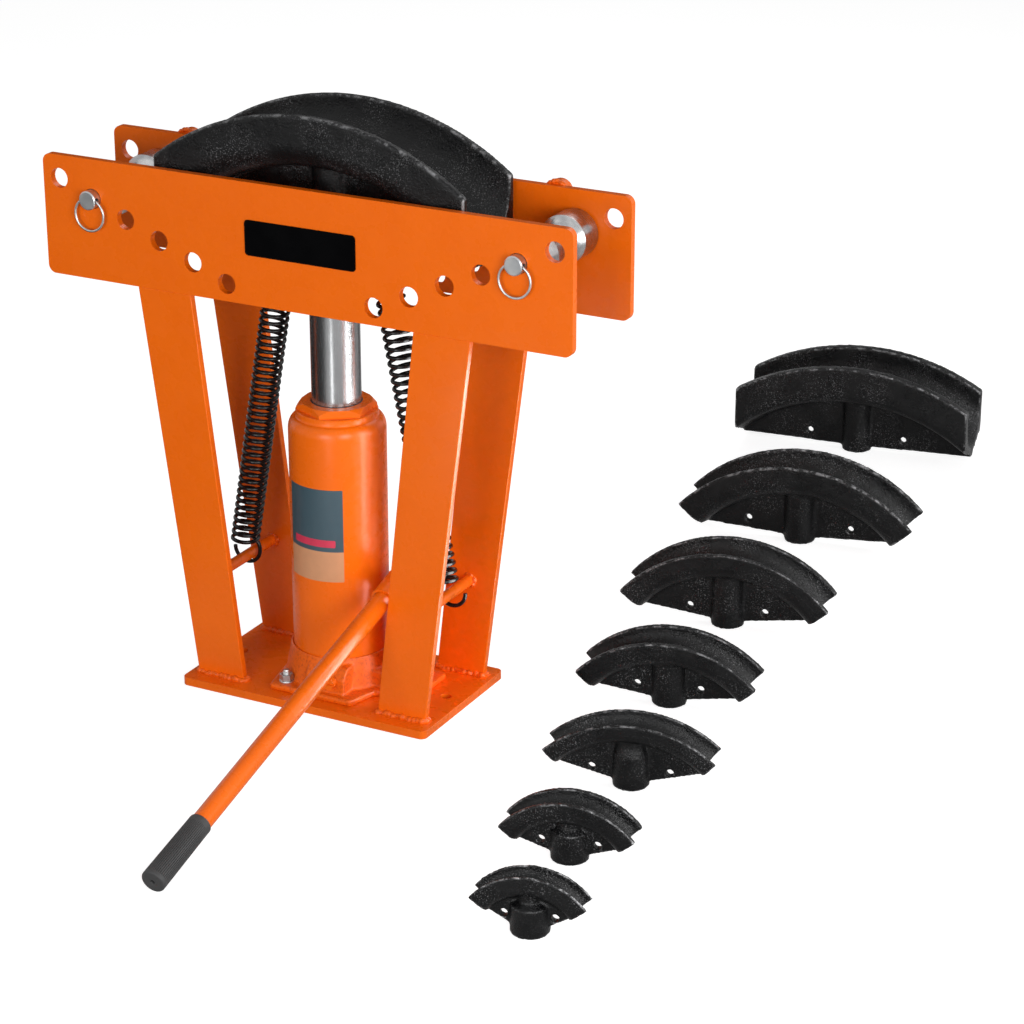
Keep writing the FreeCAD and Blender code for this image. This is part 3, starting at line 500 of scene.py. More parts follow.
class Surface:
    """Node tree of one material, built round its shader."""

    def __init__(self, name: str) -> None:
        """Starts a material with nothing but a shader and the object's coordinates."""
        self.material = bpy.data.materials.new(name)
        self.material.use_nodes = True
        self.nodes = self.material.node_tree.nodes
        self.links = self.material.node_tree.links
        self.shader = self.nodes["Principled BSDF"]
        self.place = self.nodes.new("ShaderNodeTexCoord").outputs["Object"]

    def plain(self, **values: object) -> None:
        """Sets sockets of the shader that are the same all over; underscores stand for spaces."""
        for name, value in values.items():
            socket = self.shader.inputs[name.replace("_", " ")]
            socket.default_value = (*value, 1.0) if isinstance(value, tuple) else value

    def feed(self, name: str, value: Socket) -> None:
        """Links a value to one of the shader's sockets."""
        self.links.new(value, self.shader.inputs[name])

    def noise(self, scale: float, detail: float = 3.0, rough: float = 0.5,
              place: Socket | None = None) -> Socket:
        """Makes cloudy noise.

        Args:
            scale: Patches per metre.
            detail: Octaves.
            rough: How strong the fine octaves are.
            place: Coordinates, the object's own if left out.

        Returns:
            The noise, about 0 to 1.
        """
        node = self.nodes.new("ShaderNodeTexNoise")
        node.inputs["Scale"].default_value = scale
        node.inputs["Detail"].default_value = detail
        node.inputs["Roughness"].default_value = rough
        self.links.new(place or self.place, node.inputs["Vector"])
        return node.outputs["Fac"]

    def grains(self, scale: float) -> Socket:
        """Distance to the nearest grain centre, with scale grains per metre."""
        node = self.nodes.new("ShaderNodeTexVoronoi")
        node.inputs["Scale"].default_value = scale
        self.links.new(self.place, node.inputs["Vector"])
        return node.outputs["Distance"]

    def stretched(self, scale: tuple[float, float, float]) -> Socket:
        """The object's coordinates scaled along each axis, for brushed or turned marks."""
        node = self.nodes.new("ShaderNodeMapping")
        node.inputs["Scale"].default_value = scale
        self.links.new(self.place, node.inputs["Vector"])
        return node.outputs["Vector"]

    def axis(self, name: str) -> Socket:
        """One of the object's coordinates, X, Y or Z."""
        node = self.nodes.new("ShaderNodeSeparateXYZ")
        self.links.new(self.place, node.inputs["Vector"])
        return node.outputs[name]

    def spread(self, value: Socket, low: float, high: float, out_low: float, out_high: float) -> Socket:
        """Maps a range of a value to another and holds it there.

        Args:
            value: What is mapped.
            low: Start of its range.
            high: End of its range.
            out_low: Result at the start.
            out_high: Result at the end.

        Returns:
            The mapped value.
        """
        node = self.nodes.new("ShaderNodeMapRange")
        node.inputs["From Min"].default_value = low
        node.inputs["From Max"].default_value = high
        node.inputs["To Min"].default_value = out_low
        node.inputs["To Max"].default_value = out_high
        self.links.new(value, node.inputs["Value"])
        return node.outputs["Result"]

    def combine(self, kind: str, first: Socket, second: Socket | float) -> Socket:
        """Works out two values with a Math node of the given kind."""
        node = self.nodes.new("ShaderNodeMath")
        node.operation = kind
        self.links.new(first, node.inputs[0])
        if isinstance(second, float):
            node.inputs[1].default_value = second
        else:
            self.links.new(second, node.inputs[1])
        return node.outputs["Value"]

    def tint(self, amount: Socket, first: Colour | Socket, second: Colour | Socket) -> Socket:
        """Mixes two colours by an amount from 0 to 1."""
        node = self.nodes.new("ShaderNodeMix")
        node.data_type = "RGBA"
        self.links.new(amount, node.inputs["Factor"])
        for socket, value in ((node.inputs[6], first), (node.inputs[7], second)):
            if isinstance(value, tuple):
                socket.default_value = (*value, 1.0)
            else:
                self.links.new(value, socket)
        return node.outputs[2]

    def bump(self, height: Socket, depth: float, strength: float = 1.0,
             under: Socket | None = None) -> Socket:
        """Raises the surface by a height from 0 to 1.

        Args:
            height: The pattern.
            depth: What a height of 1 stands for, in metres.
            strength: How much of it shows.
            under: A coarser bump below this one.

        Returns:
            The bumped normal.
        """
        node = self.nodes.new("ShaderNodeBump")
        node.inputs["Distance"].default_value = depth
        node.inputs["Strength"].default_value = strength
        self.links.new(height, node.inputs["Height"])
        if under is not None:
            self.links.new(under, node.inputs["Normal"])
        return node.outputs["Normal"]

    def edges(self) -> Socket:
        """How far a point stands out from the surface round it, 0.5 on a flat."""
        return self.nodes.new("ShaderNodeNewGeometry").outputs["Pointiness"]


@dataclass(frozen=True)
class PowderCoat:
    """Glossy orange powder coat with a faint orange peel."""

    name: str = "orange_powder_coat"
    colour: Colour = (0.86, 0.144, 0.0030)
    thin: Colour = (0.84, 0.136, 0.0025)
    peel: float = 260.0
    peel_depth: float = 0.05 * MM
    waves_depth: float = 0.10 * MM
    gloss: tuple[float, float] = (0.24, 0.32)

    def build(self) -> bpy.types.Material:
        """Makes the material."""
        coat = Surface(self.name)
        patches = coat.noise(16.0, 4.0, 0.55)
        share = coat.spread(patches, 0.35, 0.65, 0.0, 1.0)
        coat.feed("Base Color", coat.tint(share, self.thin, self.colour))
        coat.feed("Roughness", coat.spread(coat.noise(70.0), 0.3, 0.7, *self.gloss))
        waves = coat.bump(coat.noise(38.0, 2.0), self.waves_depth)
        coat.feed("Normal", coat.bump(coat.noise(self.peel, 2.0, 0.4), self.peel_depth, 1.0, waves))
        coat.plain(Specular_IOR_Level=0.26)
        return coat.material


@dataclass(frozen=True)
class CoatedCasting:
    """The same orange over a rough sand casting or a weld, with painted shade in the hollows of its skin."""

    name: str = "orange_coat_on_casting"
    colour: Colour = (0.80, 0.128, 0.0025)
    # Darker orange painted into the low places of the skin's bump, as shade.
    hollow: Colour = (0.56, 0.070, 0.0012)
    skin: float = 320.0
    skin_depth: float = 0.35 * MM

    def build(self) -> bpy.types.Material:
        """Makes the material."""
        coat = Surface(self.name)
        skin = coat.noise(self.skin, 5.0, 0.6)
        # Painted shade: the low places of the skin noise, which the bump sinks, get the darker orange.
        share = coat.spread(skin, 0.3, 0.55, 0.0, 1.0)
        coat.feed("Base Color", coat.tint(share, self.hollow, self.colour))
        coat.feed("Roughness", coat.spread(coat.noise(90.0), 0.3, 0.7, 0.34, 0.46))
        lumps = coat.bump(coat.noise(75.0, 3.0), 0.5 * MM)
        coat.feed("Normal", coat.bump(skin, self.skin_depth, 0.8, lumps))
        coat.plain(Specular_IOR_Level=0.28)
        return coat.material


@dataclass(frozen=True)
class BlackCasting:
    """Black lacquer over a grainy casting, rubbed grey along its edges, with painted grey glints in patches.
    """

    name: str = "black_lacquered_casting"
    colour: Colour = (0.0030, 0.0031, 0.0034)
    worn: Colour = (0.42, 0.42, 0.43)
    skin: float = 420.0
    skin_depth: float = 0.75 * MM
    spots: float = 650.0
    # Scale of the painted glints, specks per metre.
    glint: float = 750.0

    def build(self) -> bpy.types.Material:
        """Makes the material."""
        iron = Surface(self.name)
        skin = iron.noise(self.skin, 6.0, 0.62)
        spots = iron.grains(self.spots)
        wear = iron.spread(iron.edges(), 0.520, 0.560, 0.0, 1.0)
        broken = iron.spread(iron.noise(110.0, 5.0, 0.7), 0.48, 0.60, 0.0, 0.9)
        # Painted glints: fine grey metallic specks in patches, standing in for sparkling highlights.
        painted_glints = iron.spread(iron.noise(self.glint, 2.0, 0.5), 0.58, 0.68, 0.0, 0.30)
        painted_glint_zones = iron.spread(iron.noise(20.0, 2.0), 0.45, 0.62, 0.05, 1.0)
        wear_and_painted_glints = iron.combine("MAXIMUM", iron.combine("MULTIPLY", wear, broken),
                              iron.combine("MULTIPLY", painted_glints, painted_glint_zones))
        # Worn edges and painted glints both turn the base colour grey and partly metallic.
        iron.feed("Base Color", iron.tint(wear_and_painted_glints, self.colour, self.worn))
        patches = iron.spread(iron.noise(45.0, 3.0), 0.35, 0.65, 0.20, 0.36)
        iron.feed("Roughness", iron.combine("MULTIPLY", patches, iron.spread(spots, 0.0, 0.5, 0.85, 1.1)))
        iron.feed("Metallic", iron.combine("MULTIPLY", wear_and_painted_glints, 0.7))
        lumps = iron.bump(iron.noise(70.0, 3.0), 0.55 * MM)
        skinned = iron.bump(skin, self.skin_depth, 0.9, lumps)
        iron.feed("Normal", iron.bump(spots, 0.30 * MM, 0.8, skinned))
        iron.plain(Specular_IOR_Level=0.22)
        return iron.material


@dataclass(frozen=True)
class BrightSteel:
    """Bare or plated steel with marks along or round an axis."""

    name: str
    colour: Colour = (0.52, 0.52, 0.53)
    dull: Colour = (0.42, 0.42, 0.43)
    rough: tuple[float, float] = (0.16, 0.26)
    grain: tuple[float, float, float] = (1.0, 1.0, 1.0)
    marks: float = 600.0
    mark_depth: float = 0.01 * MM

    def build(self) -> bpy.types.Material:
        """Makes the material."""
        steel = Surface(self.name)
        place = steel.stretched(self.grain)
        marks = steel.noise(self.marks, 4.0, 0.6, place)
        cloud = steel.noise(55.0, 3.0)
        share = steel.spread(cloud, 0.35, 0.65, 0.0, 1.0)
        steel.feed("Base Color", steel.tint(share, self.dull, self.colour))
        steel.feed("Roughness", steel.spread(marks, 0.3, 0.7, *self.rough))
        steel.feed("Normal", steel.bump(marks, self.mark_depth))
        steel.plain(Metallic=1.0)
        return steel.material


@dataclass(frozen=True)
class SpringLacquer:
    """Black oiled spring wire."""

    name: str = "black_spring_wire"
    colour: Colour = (0.0025, 0.0025, 0.0030)
    oily: Colour = (0.008, 0.0075, 0.0075)

    def build(self) -> bpy.types.Material:
        """Makes the material."""
        wire = Surface(self.name)
        cloud = wire.noise(300.0, 4.0)
        wire.feed("Base Color", wire.tint(cloud, self.colour, self.oily))
        wire.feed("Roughness", wire.spread(cloud, 0.3, 0.7, 0.16, 0.28))
        wire.feed("Normal", wire.bump(wire.noise(1200.0, 3.0), 0.02 * MM))
        wire.plain(Specular_IOR_Level=0.28)
        return wire.material


@dataclass(frozen=True)
class Rubber:
    """Dull black moulded rubber."""

    name: str = "black_rubber"
    colour: Colour = (0.030, 0.030, 0.031)
    dusty: Colour = (0.050, 0.050, 0.050)
    rough: tuple[float, float] = (0.55, 0.72)

    def build(self) -> bpy.types.Material:
        """Makes the material."""
        rubber = Surface(self.name)
        cloud = rubber.noise(60.0, 4.0)
        rubber.feed("Base Color", rubber.tint(cloud, self.colour, self.dusty))
        rubber.feed("Roughness", rubber.spread(cloud, 0.3, 0.7, *self.rough))
        rubber.feed("Normal", rubber.bump(rubber.noise(1500.0, 3.0), 0.03 * MM))
        rubber.plain(Specular_IOR_Level=0.4)
        return rubber.material


@dataclass(frozen=True)
class BadgeGloss:
    """Smooth black face of the bare badge."""

    name: str = "black_badge"
    colour: Colour = (0.0015, 0.0015, 0.0018)
    dusty: Colour = (0.0025, 0.0025, 0.0028)

    def build(self) -> bpy.types.Material:
        """Makes the material."""
        plate = Surface(self.name)
        cloud = plate.noise(40.0, 3.0)
        plate.feed("Base Color", plate.tint(cloud, self.colour, self.dusty))
        plate.feed("Roughness", plate.spread(cloud, 0.3, 0.7, 0.16, 0.24))
        plate.feed("Normal", plate.bump(plate.noise(500.0), 0.01 * MM))
        plate.plain(Specular_IOR_Level=0.05)
        return plate.material


@dataclass(frozen=True)
class LabelFilm:
    """Printed film in two plain fields, one above the other."""

    split: float
    name: str = "label_film"
    upper: Colour = (0.045, 0.084, 0.106)
    lower: Colour = (0.60, 0.29, 0.145)

    def build(self) -> bpy.types.Material:
        """Makes the material."""
        film = Surface(self.name)
        border = film.spread(film.axis("Z"), self.split - 0.1 * MM, self.split + 0.1 * MM, 0.0, 1.0)
        cloud = film.spread(film.noise(120.0, 3.0), 0.3, 0.7, 0.94, 1.0)
        fields = film.tint(border, self.lower, self.upper)
        film.feed("Base Color", film.tint(cloud, BLACK, fields))
        film.feed("Roughness", film.spread(film.noise(220.0), 0.3, 0.7, 0.32, 0.42))
        film.feed("Normal", film.bump(film.noise(700.0), 0.01 * MM))
        return film.material


@dataclass(frozen=True)
class PlainInk:
    """One printed colour."""

    name: str
    colour: Colour

    def build(self) -> bpy.types.Material:
        """Makes the material."""
        ink = Surface(self.name)
        cloud = ink.spread(ink.noise(120.0, 3.0), 0.3, 0.7, 0.9, 1.0)
        ink.feed("Base Color", ink.tint(cloud, BLACK, self.colour))
        ink.feed("Roughness", ink.spread(ink.noise(220.0), 0.3, 0.7, 0.35, 0.45))
        return ink.material


class Finishes:
    """Every material of the bender, made once."""

    def __init__(self) -> None:
        """Builds the materials."""
        self.coat = PowderCoat().build()
        self.casting = CoatedCasting().build()
        self.iron = BlackCasting().build()
        self.ram = BrightSteel(
            "polished_ram_steel", (0.36, 0.365, 0.37), (0.33, 0.335, 0.34), (0.25, 0.28), (1.0, 1.0, 0.02),
            1500.0, 0.001 * MM).build()
        self.roller = BrightSteel(
            "turned_roller_steel", (0.56, 0.56, 0.56), (0.30, 0.30, 0.31), (0.18, 0.34), (0.05, 1.0, 0.05),
            2600.0, 0.03 * MM).build()
        self.zinc = BrightSteel(
            "zinc_plated_steel", (0.56, 0.57, 0.57), (0.42, 0.43, 0.44), (0.32, 0.46), (1.0, 1.0, 1.0),
            700.0, 0.03 * MM).build()
        self.cylinder = BrightSteel("machined_cylinder_steel").build()
        self.spring = SpringLacquer().build()
        self.grip = Rubber("grip_rubber").build()
        self.seal = Rubber("seal_rubber_face", (0.012, 0.012, 0.012), (0.02, 0.02, 0.02)).build()
        self.badge = BadgeGloss().build()


# Sub-assemblies


@dataclass
class WeldBead:
    """A line of weld, laid as overlapping drops along a path."""

    name: str
    path: Sequence[Vector]
    radius: float = 2.6 * MM
    step: float = 2.3 * MM
    unevenness: float = 0.30
    grain: float = 0.7 * MM
    seed: int = 1

    def drops(self) -> list[tuple[Vector, float]]:
        """Spreads the drops over the path.

        Returns:
            Each drop's centre and radius.
        """
        dice = random.Random(self.seed)
        placed = []
        for start, end in zip(self.path, self.path[1:]):
            count = max(1, round((end - start).length / self.step))
            for index in range(count):
                shift = Vector([dice.uniform(-1, 1) for _ in range(3)]) * self.radius * self.unevenness
                size = self.radius * (1 + dice.uniform(-1, 1) * self.unevenness)
                placed.append((start.lerp(end, index / count) + shift, size))
        return placed

    def build(self) -> Piece:
        """Melts the drops together.

        Returns:
            The bead.
        """
        bpy.ops.object.select_all(action="DESELECT")
        bpy.ops.mesh.primitive_ico_sphere_add(subdivisions=2, radius=1.0)
        bead = bpy.context.object
        bead.name = self.name
        drop = bead.data.copy()
        joined = bmesh.new()
        for centre, size in self.drops():
            one = drop.copy()
            for vertex in one.vertices:
                vertex.co = centre + vertex.co * size
            joined.from_mesh(one)
            bpy.data.meshes.remove(one)
        joined.to_mesh(bead.data)
        joined.free()
        bpy.data.meshes.remove(drop)
        modify(bead, "REMESH", mode="VOXEL", voxel_size=self.grain)
        modify(bead, "SMOOTH", factor=0.5, iterations=2)
        activate(bead)
        bpy.ops.object.shade_smooth()
        return bead


@dataclass
class WeldedFrame:
    """Base plate, legs, side plates, spring rods and rear stubs, welded and painted."""

    finishes: Finishes
    edge: float = 0.9 * MM
    weld: float = 3.4 * MM
    rod_weld: float = 2.8 * MM
    stub_bead: float = 2.2 * MM
    ring_steps: int = 12
    rod_chamfer: float = 0.8 * MM
    stub_chamfer: float = 1.2 * MM
    badge_rim: float = 1.1 * MM
    badge_sink: float = 0.3 * MM
    badge_corner: float = 4.0 * MM

    def build(self) -> None:
        """Makes every piece of the frame."""
        self.plates()
        for side in Side:
            self.rod(side)
            self.stub_weld(side)
        self.stubs()
        self.badge()

    def plates(self) -> None:
        """Softens the cut edges of the plates and legs, and welds the legs down."""
        flats = ["base_plate", "side_plate_front", "side_plate_rear"]
        for row in ("front", "rear"):
            for side in Side:
                node = f"leg_{row}_{side.word}"
                flats.append(node)
                self.foot_weld(node)
        for node in flats:
            refined(node, "painted", self.edge, self.finishes.coat, Slot.ORANGE)

    def foot_weld(self, node: str) -> None:
        """Lays a bead round the foot of a leg.

        Args:
            node: The leg's CAD node.
        """
        low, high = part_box(node)
        points = [vertex.co for vertex in frame["nodes"][node].data.vertices]
        foot = [point.x for point in points if point.z < low.z + MM]
        left, right = min(foot), max(foot)
        corners = [(left, low.y), (right, low.y), (right, high.y), (left, high.y), (left, low.y)]
        path = [Vector((x, y, low.z + self.weld / 4)) for x, y in corners]
        bead = WeldBead(node + "_weld", path, self.weld, seed=len(node) + int(right / MM)).build()
        finish(bead, self.finishes.casting, Slot.ORANGE, body="frame")

    def ring_weld(self, name: str, centre: Vector, radius: float, bead: float) -> None:
        """Lays a bead round the end of a round bar that runs along Y.

        Args:
            name: The bead's name.
            centre: Where the bar's axis meets the plate.
            radius: The bar's radius.
            bead: The bead's own radius.
        """
        steps = self.ring_steps
        path = []
        for step in range(steps + 1):
            angle = FULL_TURN * step / steps
            path.append(centre + Vector((math.cos(angle), 0, math.sin(angle))) * radius)
        weld = WeldBead(name, path, bead, seed=int(abs(centre.x) / MM) + steps).build()
        finish(weld, self.finishes.casting, Slot.ORANGE, body="frame")

    def rod(self, side: Side) -> None:
        """Turns a spring rod and welds both its ends.

        Args:
            side: Which of the two.
        """
        node = "spring_rod_" + side.word
        start, end = centre_line(node, ACROSS)
        low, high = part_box(node)
        radius = (high.z - low.z) / 2
        length = (end - start).length
        trim = self.rod_chamfer
        outline = [(0, 0), (radius - trim, 0), (radius, trim), (radius, length / 2)]
        outline += [(radius, length - trim), (radius - trim, length), (0, length)]
        bar = turned(node + "_bar", outline, 48)
        smooth(bar)
        stand_along(bar, start, ACROSS)
        finish(bar, self.finishes.coat, Slot.ORANGE, node)
        for end_name, place in (("front", start), ("rear", end)):
            self.ring_weld(f"{node}_weld_{end_name}", place, radius, self.rod_weld)

    def stubs(self) -> None:
        """Softens the stubs behind the rear plate."""
        refined("rear_stubs", "painted", self.stub_chamfer, self.finishes.coat, Slot.ORANGE)

    def stub_weld(self, side: Side) -> None:
        """Welds one stub to the rear plate.

        Args:
            side: Which of the two.
        """
        low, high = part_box("rear_stubs")
        radius = (high.z - low.z) / 2
        x = high.x - radius if side is Side.RIGHT else low.x + radius
        centre = Vector((x, low.y, (low.z + high.z) / 2))
        self.ring_weld("rear_stub_weld_" + side.word, centre, radius, self.stub_bead)

    def badge(self) -> None:
        """Shapes the bare badge: a rounded plate with a raised rim."""
        low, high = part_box("name_badge")
        size = high - low
        bpy.ops.object.select_all(action="DESELECT")
        bpy.ops.mesh.primitive_cube_add(size=1, location=(low + high) / 2, scale=size)
        badge = bpy.context.object
        badge.name = "badge_plate"
        settle(badge)
        with editing(badge, "EDGE"):
            pick_edges(lambda one, two: abs(one.x - two.x) + abs(one.z - two.z) < MM / 10)
            bpy.ops.mesh.bevel(offset=self.badge_corner, segments=8, affect="EDGES")
        with editing(badge, "FACE"):
            pick_faces(lambda centre, normal: normal.y < -0.9)
            bpy.ops.mesh.inset(thickness=self.badge_rim)
            bpy.ops.mesh.extrude_region_move(TRANSFORM_OT_translate={"value": ACROSS * self.badge_sink})
        soften(badge, 0.15 * MM, 2)
        finish(badge, self.finishes.badge, Slot.BADGE, "name_badge")


@dataclass
class BottleJack:
    """Casting, reservoir, gland, label, fastenings and release valve of the jack."""

    finishes: Finishes
    foot_grain: float = 1.25 * MM
    wall: float = 5 * MM
    bore: float = 36 * MM
    neck: float = 43 * MM
    neck_height: float = 7 * MM
    neck_rim: float = 1.0 * MM
    foot_trim: float = 0.6 * MM
    shoulder_rise: float = 14 * MM
    ram_radius: float = 26 * MM
    gland_edge: float = 0.5 * MM
    seal_lip: float = 0.7 * MM
    plug_rim: float = 2.5 * MM
    plug_round: float = 1.6 * MM
    valve_edge: float = 0.35 * MM
    stud_radius: float = 4 * MM
    stud_pitch: float = 1.25 * MM
    stud_tip: float = 1.0 * MM
    nut_half: float = 6.5 * MM
    nut_chamfer: float = 0.55 * MM
    washer_radius: float = 8 * MM
    label_low: float = 136 * MM
    label_high: float = 238 * MM
    label_split: float = 169.5 * MM
    label_turn: tuple[float, float] = (-130.5, -54.7)
    label_film: float = 0.15 * MM
    label_corner: float = 0.8 * MM
    bar_low: float = 174.5 * MM
    bar_high: float = 182.5 * MM
    bar_turn: tuple[float, float] = (-121.0, -64.0)
    bar_film: float = 0.21 * MM
    bar_corner: float = 2.0 * MM
    bar_colour: Colour = (0.62, 0.035, 0.085)

    def build(self) -> None:
        """Makes every piece of the jack that stays with the frame."""
        self.base_casting()
        self.reservoir()
        self.gland()
        self.plug()
        self.label()
        self.fastenings()
        self.valve()
        dress("jack_cylinder", self.finishes.cylinder)

    def base_casting(self) -> None:
        """Rounds the casting under the jack and the pump."""
        casting = copied("jack_base", "jack_casting")
        cast(casting, self.foot_grain, 7)
        finish(casting, self.finishes.casting, Slot.ORANGE, "jack_base")

    def reservoir(self) -> None:
        """Turns the reservoir tube with its rounded shoulder and neck."""
        low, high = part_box("jack_body")
        outer = high.x
        inner = outer - self.wall
        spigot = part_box("gland_nut")[0].z
        bore, neck = self.bore, self.neck
        shoulder = high.z - self.neck_height - self.shoulder_rise
        trim, rim = self.foot_trim, self.neck_rim
        outline = [(inner, low.z), (outer - trim, low.z), (outer, low.z + trim)]
        outline += [(outer, low.z + (shoulder - low.z) * step / 4) for step in range(1, 4)]
        outline += arc((neck, shoulder), (outer - neck, self.shoulder_rise), (0.0, 84.0), 12)
        outline += [(neck + 0.35 * MM, high.z - 6.4 * MM), (neck, high.z - 5.6 * MM)]
        outline += [(neck, high.z - rim), (neck - rim, high.z), (bore, high.z)]
        outline += [(bore, spigot), (inner, shoulder - 2 * MM), (inner, low.z)]
        body = turned("jack_reservoir", outline, 128)
        smooth(body)
        finish(body, self.finishes.coat, Slot.ORANGE, "jack_body")

    def gland(self) -> None:
        """Softens the gland nut and shows the lip of its wiper."""
        refined("gland_nut", "painted", self.gland_edge, self.finishes.coat, Slot.ORANGE)
        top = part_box("gland_nut")[1].z
        ram = centre_line("ram", UP)
        inner = self.ram_radius + 0.12 * MM
        outer = self.ram_radius + self.seal_lip
        outline = [(inner, top - MM), (outer + 0.5 * MM, top - MM)]
        outline += [(outer + 0.4 * MM, top + 0.1 * MM), (outer, top + 0.35 * MM)]
        outline += [(self.ram_radius + 0.2 * MM, top + 0.25 * MM), (inner, top - MM)]
        lip = turned("gland_wiper", outline, 96)
        smooth(lip)
        stand_along(lip, Vector((ram[0].x, ram[0].y, 0)), UP)
        finish(lip, self.finishes.seal, Slot.SEAL, "ram_seal")

    def plug(self) -> None:
        """Turns the rubber plug of the filling hole."""
        start, end = centre_line("filler_plug", ACROSS)
        low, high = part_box("filler_plug")
        radius = (high.x - low.x) / 2
        length = (end - start).length
        rim = length - self.plug_rim
        stem = radius - self.plug_rim / 2
        bend = self.plug_round
        outline = [(0, 0), (radius - 2 * MM, 0), (stem, MM), (stem, rim), (radius, rim)]
        outline += arc((radius - bend, length - bend), (bend, bend), (0.0, 90.0), 5)
        outline += [(radius / 2, length - 0.2 * MM), (0, length - 0.6 * MM)]
        plug = turned("filler_plug_rubber", outline, 48)
        smooth(plug, 50.0)
        stand_along(plug, start, ACROSS)
        finish(plug, self.finishes.seal, Slot.ORANGE, "filler_plug")

    def film(self, name: str, band: tuple[float, float], turn: tuple[float, float], proud: float,
             corner: float) -> Piece:
        """Cuts a piece of film to lie on the reservoir.

        Args:
            name: The film's name.
            band: Its lowest and highest point.
            turn: Its first and last angle round the reservoir, in degrees.
            proud: How far its face stands off the reservoir.
            corner: Radius of its corners.

        Returns:
            The curved sheet.
        """
        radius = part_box("jack_body")[1].x
        inner, outer = radius + 0.02 * MM, radius + proud
        start = math.radians(turn[0])
        sweep = math.radians(turn[1]) - start
        sheet = drawn(name, [Vector((inner, 0, band[0])), Vector((outer, 0, band[0])),
                             Vector((outer, 0, band[1])), Vector((inner, 0, band[1]))])
        with editing(sheet, "VERT"):
            bpy.ops.mesh.select_all(action="SELECT")
            bpy.ops.mesh.edge_face_add()
            bpy.ops.mesh.spin(steps=48, angle=sweep, center=(0, 0, 0), axis=-UP)
            tidy_shell()
        with editing(sheet, "EDGE"):
            radial = inner + (outer - inner) * 0.5
            pick_edges(lambda one, two: abs(one.z - two.z) < MM / 100
                       and min(one.xy.length, two.xy.length) < radial < max(one.xy.length, two.xy.length)
                       and self.at_end(one, sweep))
            bpy.ops.mesh.bevel(offset=corner, segments=5, affect="EDGES")
        sheet.rotation_euler = (0, 0, start)
        settle(sheet)
        smooth(sheet, 30.0)
        return sheet

    @staticmethod
    def at_end(point: Vector, sweep: float) -> bool:
        """Whether a point lies at the first or last angle of a sweep from the X axis."""
        angle = math.atan2(point.y, point.x)
        return abs(angle) < 0.002 or abs(angle - sweep) < 0.002

    def label(self) -> None:
        """Lays the plain two-field label and its bar on the reservoir."""
        sheet = self.film("jack_label", (self.label_low, self.label_high), self.label_turn,
                          self.label_film, self.label_corner)
        finish(sheet, LabelFilm(self.label_split).build(), Slot.ORANGE, body="frame")
        bar = self.film("jack_label_bar", (self.bar_low, self.bar_high), self.bar_turn,
                        self.bar_film, self.bar_corner)
        finish(bar, PlainInk("label_crimson", self.bar_colour).build(), Slot.ORANGE, body="frame")

    def fastenings(self) -> None:
        """Makes the two studs, washers and nuts that hold the casting down."""
        stud_low, stud_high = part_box("jack_studs")
        nut_low, nut_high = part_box("jack_nuts")
        washer_low, washer_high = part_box("jack_washers")
        radius = self.stud_radius
        places = []
        for side in Side:
            x = stud_high.x - radius if side is Side.RIGHT else stud_low.x + radius
            y = stud_high.y - radius if side is Side.RIGHT else stud_low.y + radius
            places.append(Vector((x, y, 0)))
        studs, nuts, washers = [], [], []
        for place in places:
            studs.append(self.threaded(place, radius, stud_low.z, stud_high.z))
            nuts.append(self.nut(place, self.nut_half, radius + 0.1 * MM, nut_low.z, nut_high.z))
            washers.append(self.washer(place, radius, washer_low.z, washer_high.z))
        for node, ending, copies in (("jack_studs", "threaded", studs), ("jack_nuts", "chamfered", nuts),
                                     ("jack_washers", "stamped", washers)):
            finish(joined(copies, f"{node}_{ending}"), self.finishes.zinc, Slot.ZINC, node)

    def threaded(self, place: Vector, radius: float, low: float, high: float) -> Piece:
        """Winds a threaded stud.

        Args:
            place: The stud's axis.
            radius: Radius over the thread.
            low: Height of its lower end.
            high: Height of its upper end.

        Returns:
            The stud.
        """
        depth = 0.6 * self.stud_pitch
        root = radius - depth
        pitch = self.stud_pitch
        turns = int((high - low - self.stud_tip) / pitch) - 1
        thread = drawn("stud_thread", [Vector((root, 0, 0)), Vector((radius, 0, pitch * 0.45)),
                                       Vector((radius, 0, pitch * 0.55)), Vector((root, 0, pitch))])
        modify(thread, "SCREW", axis="Z", screw_offset=pitch, iterations=turns, steps=24, render_steps=24,
               use_merge_vertices=True, merge_threshold=MERGE)
        move_to(thread, Vector((place.x, place.y, low)))
        proud = root + 0.05 * MM
        outline = [(0, low), (root, low), (proud, low + MM), (proud, high - self.stud_tip)]
        outline += [(root - 0.4 * MM, high), (0, high)]
        core = turned("stud_core", outline, 24)
        move_to(core, place)
        return joined([thread, core], "stud")

    def nut(self, place: Vector, half: float, bore: float, low: float, high: float) -> Piece:
        """Cuts a hexagon nut with chamfered corners and a bore.

        Args:
            place: The nut's axis.
            half: Half its width over the flats.
            bore: Radius of its hole.
            low: Height of its lower face.
            high: Height of its upper face.

        Returns:
            The nut.
        """
        corner = half / math.cos(math.pi / 6)
        bpy.ops.object.select_all(action="DESELECT")
        bpy.ops.mesh.primitive_cylinder_add(vertices=6, radius=corner, depth=high - low,
                                            location=(place.x, place.y, (low + high) / 2))
        nut = bpy.context.object
        nut.name = "nut"
        settle(nut)
        drop = self.nut_chamfer
        cone = turned("nut_cone", [(0, low), (corner - drop * 1.7, low), (corner, low + drop),
                                   (corner, high - drop), (corner - drop * 1.7, high), (0, high)], 64)
        move_to(cone, place)
        carve(nut, cone, "INTERSECT")
        hole = turned("nut_hole", [(0, low - MM), (bore + 0.6 * MM, low - MM), (bore + 0.6 * MM, low),
                                   (bore, low + 0.6 * MM), (bore, high - 0.6 * MM), (bore + 0.6 * MM, high),
                                   (bore + 0.6 * MM, high + MM), (0, high + MM)], 32)
        move_to(hole, place)
        carve(nut, hole, "DIFFERENCE")
        soften(nut, 0.12 * MM, 2)
        return nut

